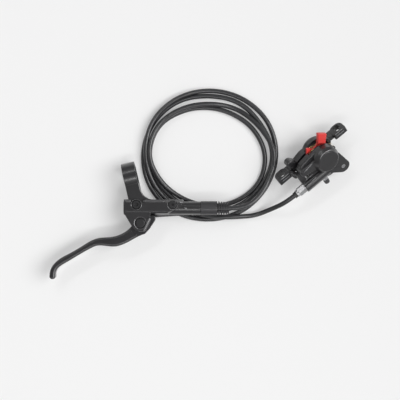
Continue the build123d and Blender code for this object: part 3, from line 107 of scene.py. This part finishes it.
class Board:
    """A node tree with one method for any node."""

    def __init__(self, tree):
        self.tree = tree

    def plug(self, socket, value):
        """Links a Wire to the socket, or sets the socket's own value; a colour gets its fourth part."""
        if isinstance(value, Wire):
            self.tree.links.new(value.socket, socket)
        elif isinstance(value, tuple) and len(value) == 3 and socket.type == "RGBA":
            socket.default_value = (*value, 1)
        else:
            socket.default_value = value

    def node(self, kind, settings, inputs, out=0):
        """A node of this kind: its settings are set first, then its inputs; gives back one output."""
        made = self.tree.nodes.new(kind)
        for key, value in settings.items():
            setattr(made, key, value)
        for key, value in inputs.items():
            self.plug(made.inputs[key], value)
        return Wire(self, made.outputs[out])


class Paint(Board):
    """One finish: a Principled surface and the nodes that vary it."""

    def __init__(self, name, **constants):
        self.material = bpy.data.materials.new(name)
        self.material.use_nodes = True
        super().__init__(self.material.node_tree)
        self.surface = self.tree.nodes["Principled BSDF"]
        self.set(**constants)
        self.place = self.node("ShaderNodeTexCoord", {}, {}, "Object")

    def set(self, **values):
        """Sets or links the surface's inputs, with _ for each space in a name."""
        for key, value in values.items():
            self.plug(self.surface.inputs[key.replace("_", " ")], value)

    def noise(self, scale, detail, roughness=0.5):
        """Noise in the object's own space: scale is how many spots there are in a metre."""
        return self.node(
            "ShaderNodeTexNoise",
            {},
            {"Vector": self.place, "Scale": scale, "Detail": detail, "Roughness": roughness},
        )

    def blend(self, amount, tone, low, high):
        """The tone times low where the amount is 0, and times high where it is 1."""
        first, second = (tuple(factor * c for c in tone) for factor in (low, high))
        return self.node("ShaderNodeMix", {"data_type": "RGBA"}, {0: amount, 6: first, 7: second}, 2)

    def bump(self, height, distance, strength=1.0, edge=0.0):
        """Raises the surface by height times distance; edge is the radius of a rounded corner."""
        inputs = {"Height": height, "Distance": distance, "Strength": strength}
        if edge:
            inputs["Normal"] = self.node("ShaderNodeBevel", {"samples": BEVEL_SAMPLES}, {"Radius": edge})
        self.set(Normal=self.node("ShaderNodeBump", {}, inputs))


print("helpers:", Wire.__name__, Board.__name__, Paint.__name__)

# %% [markdown]
# ## The studio
#
# The photograph is a product picture on a white table, taken from about a metre above. The table is
# as high as the underside of the hose's lowest strands, which lie on it.

# %% The table's height
TABLE = -0.0143
MM = 0.001
print("table in millimetres:", round(TABLE / MM, 1))

# %% [markdown]
# Black metal shows little colour of its own: what the eye reads is what it mirrors. The room is
# darkest straight above, where the camera is, and bright half way up its walls, so flat tops look
# black and rounded edges light up. A picture of a real room would do this too, but three levels by
# height are enough, and they stay the same from every side.


# %% The room
BAND_RISE = (0.1, 0.5)
BAND_FADE = (0.7, 0.95)


def room_light(horizon, band, ceiling):
    """White light in three levels: low at the horizon, bright half way up, and dark overhead.

    z is the height of a direction of length 1. The band rises over BAND_RISE and fades over
    BAND_FADE, so strength = horizon + (band - horizon) * rise - (band - ceiling) * fade.
    """
    world = bpy.data.worlds.new("studio")
    world.use_nodes = True
    board = Board(world.node_tree)
    direction = board.node("ShaderNodeTexCoord", {}, {}, "Generated")
    z = board.node("ShaderNodeSeparateXYZ", {}, {0: direction}, 2)
    rise, fade = z.between(*BAND_RISE), z.between(*BAND_FADE)
    strength = horizon + (band - horizon) * rise - (band - ceiling) * fade
    backdrop = world.node_tree.nodes["Background"]
    backdrop.inputs["Color"].default_value = (1, 1, 1, 1)
    board.plug(backdrop.inputs["Strength"], strength)
    bpy.context.scene.world = world


room_light(horizon=0.10, band=0.42, ceiling=0.03)
print("room:", bpy.context.scene.world.name)

# %% [markdown]
# The shadows are soft and fall to the left, so the main light is large and stands at the right. A sun
# lamp with a very wide angle gives that over the whole table, where an area lamp would fall off
# towards one side. Two long, weak softboxes, in front and behind, are there to be mirrored by the
# rounded edges.


# %% The lamps
PART_MIDDLE = (0.07, -0.02, 0.0)


def place_lamp(name, lamp, place, towards):
    """Puts a lamp at a place; its light travels against the direction given."""
    holder = bpy.data.objects.new(name, lamp)
    holder.location = place
    holder.rotation_euler = Vector(towards).to_track_quat("Z", "Y").to_euler()
    bpy.context.scene.collection.objects.link(holder)


def wide_sun(name, azimuth, height, strength, spread):
    """A lamp far away; azimuth is where the light comes from, turned from +X towards +Y."""
    lamp = bpy.data.lights.new(name, "SUN")
    lamp.energy = strength
    lamp.angle = math.radians(spread)
    a, h = math.radians(azimuth), math.radians(height)
    towards = (math.cos(a) * math.cos(h), math.sin(a) * math.cos(h), math.sin(h))
    place_lamp(name, lamp, (0, 0, 0), towards)


def softbox(name, place, size, power):
    """A rectangular lamp that the glossy pieces mirror as a soft bright patch."""
    lamp = bpy.data.lights.new(name, "AREA")
    lamp.energy = power
    lamp.shape = "RECTANGLE"
    lamp.size, lamp.size_y = size
    place_lamp(name, lamp, place, Vector(place) - Vector(PART_MIDDLE))


wide_sun("key_light", azimuth=2, height=52, strength=2.2, spread=42)
softbox("front_box", place=(0.15, -0.62, 1.2), size=(0.9, 0.16), power=4.0)
softbox("back_box", place=(-0.45, 0.65, 1.1), size=(0.8, 0.12), power=2.2)

# %% [markdown]
# ## The camera
#
# In the photograph the brake is seen from straight above, and the scale of the 5 mm hose and of the
# mounting ears puts the frame at 424 mm across on the table. From a height of 1060 mm that is an
# angle of 22.6 degrees.

# %% The camera
VIEW_MIDDLE = (0.0727, -0.0249)
VIEW_HEIGHT = 1.060
VIEW_WIDTH = 0.424
FAR_CLIP = 20

lens = bpy.data.cameras.new("camera")
lens.angle = 2 * math.atan(VIEW_WIDTH / 2 / VIEW_HEIGHT)
lens.clip_end = FAR_CLIP
camera = bpy.data.objects.new("camera", lens)
camera.location = (*VIEW_MIDDLE, TABLE + VIEW_HEIGHT)
bpy.context.scene.collection.objects.link(camera)
bpy.context.scene.camera = camera
bpy.context.scene.view_settings.view_transform = "Standard"
print("camera angle in degrees:", round(math.degrees(lens.angle), 2))

# %% [markdown]
# ## The hose
#
# The hose is one piece of 5 mm tube, about 1.69 m long, from the lever's rubber boot to the nut on
# the caliper. It could be a swept mesh, but a curve keeps its true round section and its length by
# itself. The turns lie loose: each crosses the others, runs high where it rests on them, and drops
# to the table where the lever's body passes over it. So a turn is twelve points round one middle,
# each with its own radius and height. The first turn starts where the hose has left the boot, and
# the last ends where it turns off to the caliper.

# %% The hose's route
HOSE_RADIUS = 0.0025
COIL_MIDDLE = (0.0827, 0.0231)
TURN_STEPS = (270, 300, 330, 0, 30, 60, 90, 120, 150, 180, 210, 240)
FLOOR_LINE = TABLE + HOSE_RADIUS

# (radius, height over the table's lowest strand), in millimetres, one pair for each direction
TURNS = [
    [None, None, (68.8, 9.6), (71.5, 8.5), (61.1, 4.5), (57.5, -1.4),
     (54.2, 4.1), (57.5, 4.5), (64.2, 5.1), (66.0, 7.8), (59.7, 4.1), (55.4, -0.6)],
    [(55.6, 1.0), (58.3, 0.0), (62.2, 0.0), (60.9, 0.0), (54.9, 0.0), (50.4, 0.0),
     (50.6, 0.0), (55.0, 0.0), (63.7, 0.0), (65.9, 0.0), (63.2, 0.0), (61.8, 0.0)],
    [(60.6, 0.0), (64.4, 0.0), (66.1, 3.3), (69.4, 3.3), (64.4, -0.3), (65.0, 0.3),
     (63.3, 0.0), (67.2, 0.0), (70.3, 0.0), (72.5, 0.0), (73.8, 0.0), (72.8, 0.0)],
    [(70.4, 0.0), (70.8, 0.0), (71.1, 0.0), (73.0, 0.0), (72.9, 0.0), (70.6, 0.0),
     (69.5, 0.0), (70.2, 4.8), (71.5, 5.3), (69.5, 4.6), (68.3, 1.4), (67.4, -0.7)],
]
LEAD = [(0.0820, -0.0334, 0.0045), (0.1030, -0.0334, 0.0045), (0.1160, -0.0329, 0.0042),
        (0.1290, -0.0275, 0.0026)]
TAIL = [(0.0827, -0.0420, -0.0085), (0.0984, -0.0431, -0.0058), (0.1140, -0.0426, -0.0078),
        (0.1310, -0.0413, -0.0110), (0.1470, -0.0348, -0.0056), (0.16305, -0.02705, 0.00765),
        (0.17687, -0.01552, 0.00765)]


def turn_point(direction, radius, height):
    """Point of a turn: the coil's middle plus radius along the direction, at the strand's height."""
    a = math.radians(direction)
    return (
        COIL_MIDDLE[0] + radius * MM * math.cos(a),
        COIL_MIDDLE[1] + radius * MM * math.sin(a),
        FLOOR_LINE + height * MM,
    )


coil_points = [
    turn_point(direction, *pair) for turn in TURNS for direction, pair in zip(TURN_STEPS, turn) if pair
]
hose_route = LEAD + coil_points + TAIL
print("route points:", len(hose_route))


# %% The hose's curve
CURVE_STEPS = 10
ROUND_STEPS = 5
DRAWN_BEVEL = 1.0


def smooth_curve(name, points, radius):
    """A round tube along a NURBS line of order 3 that has these points as its control points.

    The tube's radius is DRAWN_BEVEL times each point's own; with a radius of 0 only the line is left.
    """
    curve = bpy.data.curves.new(name, "CURVE")
    curve.dimensions = "3D"
    line = curve.splines.new("NURBS")
    line.points.add(len(points) - 1)
    line.points.foreach_set("co", np.c_[np.array(points), np.ones(len(points))].ravel())
    line.points.foreach_set("radius", np.full(len(points), radius))
    line.order_u = 3
    line.use_endpoint_u = True
    line.resolution_u = CURVE_STEPS
    curve.bevel_depth = DRAWN_BEVEL if radius else 0.0
    curve.bevel_resolution = ROUND_STEPS
    curve.use_fill_caps = True
    piece = bpy.data.objects.new(name, curve)
    bpy.context.scene.collection.objects.link(piece)
    return piece


def line_length(points):
    """Length of the smooth line with no thickness: the sum of the steps between its drawn points."""
    measure = smooth_curve("measure", points, 0.0)
    mesh = bpy.data.meshes.new_from_object(measure)
    spots = np.empty(len(mesh.vertices) * 3)
    mesh.vertices.foreach_get("co", spots)
    spots = spots.reshape(-1, 3)
    bpy.data.objects.remove(measure)
    bpy.data.meshes.remove(mesh)
    return float(np.linalg.norm(np.diff(spots, axis=0), axis=1).sum())


hose = smooth_curve("hose", hose_route, HOSE_RADIUS)
hose_length = line_length(hose_route)
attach(hose, "brake")
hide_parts("hose_lead", "hose_coil", "hose_tail")
print("hose length in metres:", round(hose_length, 4))

# %% [markdown]
# ## Finishes
#
# The castings are aluminium, blasted and then anodised black: a fine grain, a soft sheen, a slightly
# uneven tone, and over it the thin sealed layer that anodising leaves. The model's corners are sharp,
# and no casting's are, so a Bevel node rounds them in the shading: the light then runs along each
# edge as a soft line. Cutting real fillets would do it too, but at a cost of many faces. The thin
# raised lips get a finish without it, because its radius is larger than they are. That finish is
# also about four times lighter in tone than the anodising: a painted sheen, so that the lips read as
# lit lines.


# %% Black anodised castings
def cast_black(name, tone, gloss, edge):
    """Fine blasted grain under a thin sealed layer; edge is the radius of its rounded corners.

    In cloudy patches it is a little duller and the layer thinner: the roughness is
    gloss + 0.12 * cloud and the layer's weight is 0.9 - 0.3 * cloud.
    """
    paint = Paint(name, Metallic=0.0, IOR=1.5, Coat_Roughness=0.28)
    cloud = paint.noise(scale=60, detail=3)
    grain = paint.noise(scale=3200, detail=2, roughness=0.6)
    paint.set(
        Base_Color=paint.blend(cloud, tone, low=0.75, high=1.3),
        Roughness=gloss + 0.12 * cloud,
        Coat_Weight=0.9 - 0.3 * cloud,
    )
    paint.bump(grain, distance=0.00003, strength=0.4, edge=edge)
    return paint.material


ANODISED = (0.014, 0.0135, 0.015)
black_cast = cast_black("black_cast", ANODISED, gloss=0.30, edge=0.0009)
blade_black = cast_black("blade_black", ANODISED, gloss=0.26, edge=0.0012)
# the lips' finish: the same anodised black about four times lighter, a painted sheen
lip_painted_sheen = cast_black("lip_painted_sheen", (0.058, 0.057, 0.060), gloss=0.24, edge=0.0)
print("castings:", black_cast.name, blade_black.name, lip_painted_sheen.name)

# %% [markdown]
# Rubber, plastic and the hose's outer layer come out of a mould or a die: an even colour, a fine
# grain, and less sheen than the metal. The pads' backing and lining are pressed, so they are duller
# and coarser.


# %% Rubber, plastic and hose
def moulded(name, tone, gloss, grain_size=1800, grain_depth=0.00003, edge=0.0, coat=0.0):
    """A moulded or extruded surface: an even colour with a fine grain."""
    paint = Paint(name, IOR=1.48, Coat_Roughness=0.2)
    cloud = paint.noise(scale=90, detail=3)
    grain = paint.noise(grain_size, detail=3, roughness=0.6)
    paint.set(
        Base_Color=paint.blend(cloud, tone, low=0.85, high=1.2),
        Roughness=gloss + 0.1 * cloud,
        Coat_Weight=coat,
    )
    paint.bump(grain, grain_depth, strength=0.5, edge=edge)
    return paint.material


black_rubber = moulded("black_rubber", (0.034, 0.033, 0.036), gloss=0.42, edge=0.0003, coat=0.2)
hose_black = moulded(
    "hose_black", (0.022, 0.022, 0.024), gloss=0.36, grain_size=2600, grain_depth=0.00002, coat=0.6
)
nylon = moulded("nylon", (0.03, 0.03, 0.03), gloss=0.4)
red_plastic = moulded("red_plastic", (0.66, 0.045, 0.040), gloss=0.34, edge=0.0004, coat=0.3)
phenolic = moulded("phenolic", (0.42, 0.28, 0.15), gloss=0.42)
lining = moulded("lining", (0.36, 0.25, 0.13), gloss=0.65, grain_size=900, grain_depth=0.0001)
print("moulded:", black_rubber.name, hose_black.name, nylon.name, red_plastic.name)

# %% [markdown]
# The steel pieces are turned on a lathe and then plated bright or blackened. The tool's marks are too
# fine to see one by one; they break up the shine, so they go into the gloss as well as the height.
# The thinnest lines on the black castings are a light grey metal: painted highlights, laid where the
# edges catch the light.


# %% Steel, brass and bronze
def turned_metal(name, tone, gloss, metallic=1.0, edge=0.0002):
    """Machined metal: fine tool marks in its gloss and height."""
    paint = Paint(name, Metallic=metallic)
    cloud = paint.noise(scale=200, detail=3)
    marks = paint.noise(scale=2400, detail=2, roughness=0.6)
    paint.set(
        Base_Color=paint.blend(cloud, tone, low=0.82, high=1.0),
        Roughness=gloss + 0.12 * marks,
    )
    paint.bump(marks, distance=0.00002, strength=0.5, edge=edge)
    return paint.material


bright_steel = turned_metal("bright_steel", (0.62, 0.62, 0.63), gloss=0.24, metallic=0.85, edge=0.0003)
zinc_steel = turned_metal("zinc_steel", (0.62, 0.62, 0.64), gloss=0.28)
dark_steel = turned_metal("dark_steel", (0.05, 0.05, 0.052), gloss=0.3, metallic=0.6)
# light grey metal for the painted highlights and glints on the black castings
painted_highlight_metal = turned_metal("painted_highlight_metal", (0.34, 0.34, 0.35), gloss=0.30, metallic=0.9, edge=0.0)
brass = turned_metal("brass", (0.80, 0.60, 0.28), gloss=0.25)
bronze = turned_metal("bronze", (0.55, 0.38, 0.20), gloss=0.35)
print("finishes:", len(bpy.data.materials))

# %% [markdown]
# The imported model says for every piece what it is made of, and each of those names has one finish.

# %% Give every carried-over piece its finish
FINISH = {
    "black_metal": black_cast,
    "blade_metal": blade_black,
    "dark_steel": dark_steel,
    "bright_steel": bright_steel,
    "zinc_steel": zinc_steel,
    "brass": brass,
    "bronze": bronze,
    "nylon": nylon,
    "phenolic": phenolic,
    "red_plastic": red_plastic,
    "black_rubber": black_rubber,
    "hose_black": hose_black,
    "lining": lining,
}
slot_of = {entry["node"]: entry["material_slot"] for entry in frame["record"]["subparts"]}
for name, node in frame["nodes"].items():
    finish = FINISH[slot_of[name]]
    if node.material_slots:
        for holder in node.material_slots:
            holder.material = finish
    else:
        node.data.materials.append(finish)
hose.data.materials.append(hose_black)
print("dressed:", len(frame["nodes"]), "nodes and the hose")

# %% [markdown]
# ## Fine forms on the castings
#
# A casting shows its making in thin raised lines: the lip left round a counterbore, the seam where two
# dies met. Most are under half a millimetre high, so they stay out of the model, but they catch the
# light as the bright lines that the eye follows. Their colour adds to that: the lips, seams and
# shoulders are a lighter black than the casting, a painted sheen, and the lines where the light falls
# are light grey metal, painted highlights. Each is a section carried along a path. A bevelled curve
# would do too, but plain arrays let the section change along the way, so that an end can sink into
# the casting.


# %% A section carried along a path
def sweep(points, section, size, closed=False, up=(0, 0, 1)):
    """Place = point + size * (a * side + b * lift) for each (a, b) of the section.

    side is the path's direction crossed with up, and lift is side crossed with the direction.
    """
    path = np.asarray(points, float)
    ahead = np.roll(path, -1, 0) - np.roll(path, 1, 0) if closed else np.gradient(path, axis=0)
    ahead /= np.linalg.norm(ahead, axis=1, keepdims=True)
    side = np.cross(ahead, up)
    side /= np.linalg.norm(side, axis=1, keepdims=True)
    lift = np.cross(side, ahead)
    flat = np.broadcast_to(np.asarray(size, float), (len(path),))[:, None, None] * section[None]
    spots = path[:, None] + flat[..., :1] * side[:, None] + flat[..., 1:] * lift[:, None]
    rows, columns = spots.shape[:2]
    number = np.arange(rows * columns).reshape(rows, columns)
    if closed:
        number = np.vstack([number, number[:1]])
    here, beside = number[:-1], np.roll(number[:-1], -1, 1)
    onward, across = number[1:], np.roll(number[1:], -1, 1)
    faces = np.stack([here, beside, across, onward], -1).reshape(-1, 4).tolist()
    if not closed:
        faces += [number[0][::-1].tolist(), number[-1].tolist()]
    return spots.reshape(-1, 3), faces


# %% [markdown]
# A closed form whose faces look inwards has a volume below zero, so each part is measured and turned
# before several of them become one object.


# %% Closed parts made into one piece
def signed_volume(spots, faces):
    """Sum of the corner products of each face's triangles: negative when faces look inwards."""
    fans = np.array([(f[0], f[i], f[i + 1]) for f in faces for i in range(1, len(f) - 1)])
    a, b, c = spots[fans[:, 0]], spots[fans[:, 1]], spots[fans[:, 2]]
    return float(np.einsum("ij,ij->i", a, np.cross(b, c)).sum()) / 6


def piece_of(name, parts, finish):
    """One mesh object of several closed parts, each turned so that its faces look outwards.

    It moves with the brake's body and takes the finish it is given.
    """
    spots, faces = [], []
    for part_spots, part_faces in parts:
        if signed_volume(part_spots - part_spots.mean(axis=0), part_faces) < 0:
            part_faces = [face[::-1] for face in part_faces]
        start = sum(map(len, spots))
        spots.append(part_spots)
        faces += [[corner + start for corner in face] for face in part_faces]
    mesh = bpy.data.meshes.new(name)
    mesh.from_pydata(np.vstack(spots).tolist(), [], faces)
    mesh.polygons.foreach_set("use_smooth", np.ones(len(mesh.polygons), bool))
    mesh.materials.append(finish)
    piece = bpy.data.objects.new(name, mesh)
    bpy.context.scene.collection.objects.link(piece)
    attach(piece, "brake")
    print(name, "parts:", len(parts), "faces:", len(faces))


# %% [markdown]
# All those lines are one of three: a straight bead, a whole ring, or part of a ring. A bead and an arc
# thin out at both ends, so that no blunt end stands on the casting.


# %% Beads, rings and arcs
BEAD_STEPS = 24
RING_STEPS = 96
ARC_STEPS = 48
EAST, NORTH, UP = np.eye(3)
around = np.linspace(0, 2 * np.pi, 12, False)
ROUND = np.c_[np.cos(around), np.sin(around)]


def ends(steps):
    """Falls from 1 to nothing at both ends of a path: the root of 1 - s^6 for s from -1 to 1."""
    return np.sqrt(1.0001 - np.linspace(-1, 1, steps) ** 6)


def bead(start, end, radius, section=ROUND, up=UP):
    """A straight bead of a section that sinks away at both ends."""
    s = np.linspace(0, 1, BEAD_STEPS)[:, None]
    path = (1 - s) * np.array(start) + s * np.array(end)
    return sweep(path * MM, section, radius * ends(BEAD_STEPS) * MM, up=up)


def circle(middle, radius, degrees, across=EAST, along=NORTH):
    """middle + radius * (cos t * across + sin t * along) for each angle t."""
    t = np.radians(degrees)[:, None]
    return np.array(middle) + radius * (np.cos(t) * across + np.sin(t) * along)


def ring(middle, radius, thickness):
    """A round lip that lies level."""
    path = circle(middle, radius, np.linspace(0, 360, RING_STEPS, False))
    return sweep(path * MM, ROUND, thickness * MM, closed=True)


def arc(middle, radius, thickness, first, last, across=EAST, along=NORTH):
    """A part of a lip between two angles in degrees, with the ends of a bead."""
    path = circle(middle, radius, np.linspace(first, last, ARC_STEPS), across, along)
    return sweep(path * MM, ROUND, thickness * ends(ARC_STEPS) * MM, up=np.cross(across, along))


def over(node, height):
    """A point over the middle of a node, at a height; all in millimetres."""
    low, high = np.array(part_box(node)) / MM
    return np.array([*(low + high)[:2] / 2, height])


print("round section:", len(ROUND), "points")

# %% [markdown]
# ### On the lever's casting
#
# Three counterbores have a lip: round the pivot pin, the bleed screw and the clamp bolt. The die seam
# runs over the clamp, and a short one over the pivot plate. Where a lip or the shoulder before the
# hose fitting faces the light, a painted highlight in light grey metal lies on it: arcs on the lit
# side of the lips and two small glints on the shoulder, just prouder than the black lip under them.

# %% Lips, seams and painted glints
BODY_TOP = 13.3
PLATE_TOP = 12.8
PIN_LIP = 6.35
SCREW_LIP = 5.35
pin = over("pivot_pin", PLATE_TOP)
screw = over("bleed_screw", BODY_TOP)
bolt = over("clamp_bolt", BODY_TOP)
# lips and seams in the lighter black: a painted sheen
piece_of("lever_lips", [
    ring(pin, PIN_LIP, 0.42),
    ring(screw, SCREW_LIP, 0.30),
    ring(bolt, SCREW_LIP, 0.30),
    bead((8.6, -57.2, PLATE_TOP), (15.0, -57.2, PLATE_TOP), 0.35),
    bead((-2.9, -0.5, 14.1), (-0.9, -8.3, 11.9), 0.30),
], lip_painted_sheen)
# painted highlights: light grey arcs on the lit side of the lips, and two painted glints on the shoulder
piece_of("lever_painted_glints", [
    arc(pin, PIN_LIP, 0.46, 130, 260),
    arc(screw, SCREW_LIP, 0.40, 190, 290),
    arc(bolt, SCREW_LIP, 0.34, 170, 200),
    arc(bolt, SCREW_LIP, 0.34, -40, 0),
    bead((50.6, -27.0, 13.0), (55.2, -27.4, 13.0), 0.75),
    bead((56.4, -33.1, 11.4), (59.2, -33.9, 11.4), 0.85),
], painted_highlight_metal)

# %% [markdown]
# The body isn't quite flat on top. A low ridge runs along its back edge, broken at the two screws; the
# pivot plate has a raised shoulder towards the blade's heel; and the flange under the body is crowned
# and narrows towards the hose. Each is half a section, higher on one side, so it mirrors the bright
# part of the room as a broad band.

# %% Ridge, shoulder and flange
# Each row is (side, lift), as a share of the half width.
SLOPE = np.array([(-1.0, -0.2), (-1.0, 0.42), (-0.8, 0.55), (0.0, 0.34), (0.9, 0.04), (1.0, -0.2)])
CROWN = np.array([
    (-1.0, -0.1), (-1.0, 0.62), (-0.5, 0.60), (0.0, 0.48), (0.5, 0.26), (0.95, 0.0), (1.0, -0.1)
])
RIDGE = np.array([
    (-1.0, -0.1), (-1.0, 0.0), (-0.72, 0.42), (-0.4, 0.5), (0.3, 0.26), (1.0, -0.06), (1.0, -0.1)
])
RIDGE_Y = -25.9
FLANGE_TOP = -0.85
FLANGE_STEPS = 32

flange_x = np.linspace(26.5, 66.0, FLANGE_STEPS)
flange_y = np.interp(flange_x, (26.5, 35.0, 52.0, 66.0), (-41.3, -40.7, -40.2, -39.7))
half_width = np.interp(flange_x, (26.5, 35.0, 66.0), (1.7, 1.5, 0.9)) * ends(FLANGE_STEPS)
flange_path = np.c_[flange_x, flange_y, np.full(FLANGE_STEPS, FLANGE_TOP)]
# ridge, shoulder and flange in the lighter black: a painted sheen over the band they mirror
piece_of("body_shoulders", [
    bead((14.6, -57.6, PLATE_TOP), (21.4, -43.2, PLATE_TOP), 1.7, SLOPE),
    sweep(flange_path * MM, CROWN, half_width * MM),
    bead((1.6, RIDGE_Y, BODY_TOP), (-4.9, RIDGE_Y, BODY_TOP), 1.6, RIDGE),
    bead((36.5, RIDGE_Y, BODY_TOP), (13.4, RIDGE_Y, BODY_TOP), 1.6, RIDGE),
], lip_painted_sheen)

# %% [markdown]
# ### On the caliper
#
# The caliper has a frame of its own: u along the pads, v up towards the wheel's rim, and n out of
# the outer half. Its edges are given in that frame. The piston housing's flat cap ends in a lip with
# a painted highlight on two sides, the hose boss and the block beside it carry three thin beads of
# painted highlight, and two more run along each ear. A thick web fills the corner between the lower
# ear and the inner half.

# %% Web and edges of the caliper halves
CALIPER = np.array((189.2, 22.8, 14.95))
ALONG = np.array((0.768284, 0.64011, 0.0))
UPWARD = np.array((-0.475694, 0.570946, 0.669131))
OUTWARD = np.array((0.428317, -0.514082, 0.743145))
CAP_MIDDLE = (7.1, -3.7, 17.95)
CAP_LIP = 11.35
# u spans and (v, n) places of the painted highlight lines along the two ears
EAR_HIGHLIGHT_SPANS = ((30.6, 40.8), (-42.2, -32.0))
EAR_HIGHLIGHT_LINES = ((-2.1, -2.75), (-5.2, -2.55))


def from_caliper(u, v, n):
    """The caliper's own point as a point of the whole brake, in millimetres."""
    return CALIPER + u * ALONG + v * UPWARD + n * OUTWARD


def caliper_bead(start, end, radius):
    """A bead between two points of the caliper's own."""
    return bead(from_caliper(*start), from_caliper(*end), radius, up=OUTWARD)


def cap_arc(first, last, thickness):
    """A part of the lip round the cap."""
    return arc(from_caliper(*CAP_MIDDLE), CAP_LIP, thickness, first, last, ALONG, UPWARD)


piece_of("caliper_web", [bead((165.0, 5.6, 8.4), (174.5, -1.4, 8.4), 3.1)], black_cast)
# light grey beads: painted highlights on the cap's lip, the boss and block edges and the ears
piece_of("caliper_painted_highlights", [
    cap_arc(38, 130, 0.42),
    cap_arc(-50, 15, 0.30),
    caliper_bead((-20.5, 0.5, 12.95), (-8.0, 2.4, 12.95), 0.40),
    caliper_bead((-23.0, -13.5, 9.7), (-13.7, -12.6, 9.7), 0.40),
    caliper_bead((-26.9, -17.2, 13.95), (-12.1, -16.2, 13.0), 0.42),
] + [
    caliper_bead((start, v, n), (end, v, n), 0.32)
    for v, n in EAR_HIGHLIGHT_LINES
    for start, end in EAR_HIGHLIGHT_SPANS
], painted_highlight_metal)

# %% [markdown]
# ## The table
#
# The table is a large plain sheet under the brake; it is no part of the brake. Where the camera sees
# it straight, three tenths of its light are a fixed pale grey, which keeps its tone even from side to
# side; the rest is the lit sheet, so the brake's shadow stays.

# %% The sheet
TABLE_REACH = 4.0
FIXED_SHARE = 0.3

corners = [(x * TABLE_REACH, y * TABLE_REACH, TABLE) for x, y in ((-1, -1), (1, -1), (1, 1), (-1, 1))]
sheet_mesh = bpy.data.meshes.new("table")
sheet_mesh.from_pydata(corners, [], [(0, 1, 2, 3)])
table = bpy.data.objects.new("table", sheet_mesh)
bpy.context.scene.collection.objects.link(table)
sheet_paint = Paint("table_white", Base_Color=(0.84, 0.84, 0.84), Roughness=0.9)
seen = sheet_paint.node("ShaderNodeLightPath", {}, {}, "Is Camera Ray")
glow = sheet_paint.node("ShaderNodeEmission", {}, {"Color": (0.88, 0.88, 0.88), "Strength": 1.0})
lit = Wire(sheet_paint, sheet_paint.surface.outputs[0])
shown = sheet_paint.node("ShaderNodeMixShader", {}, {0: FIXED_SHARE * seen, 1: lit, 2: glow})
sheet_paint.plug(sheet_paint.tree.nodes["Material Output"].inputs["Surface"], shown)
table.data.materials.append(sheet_paint.material)
print("table:", 2 * TABLE_REACH, "m across")
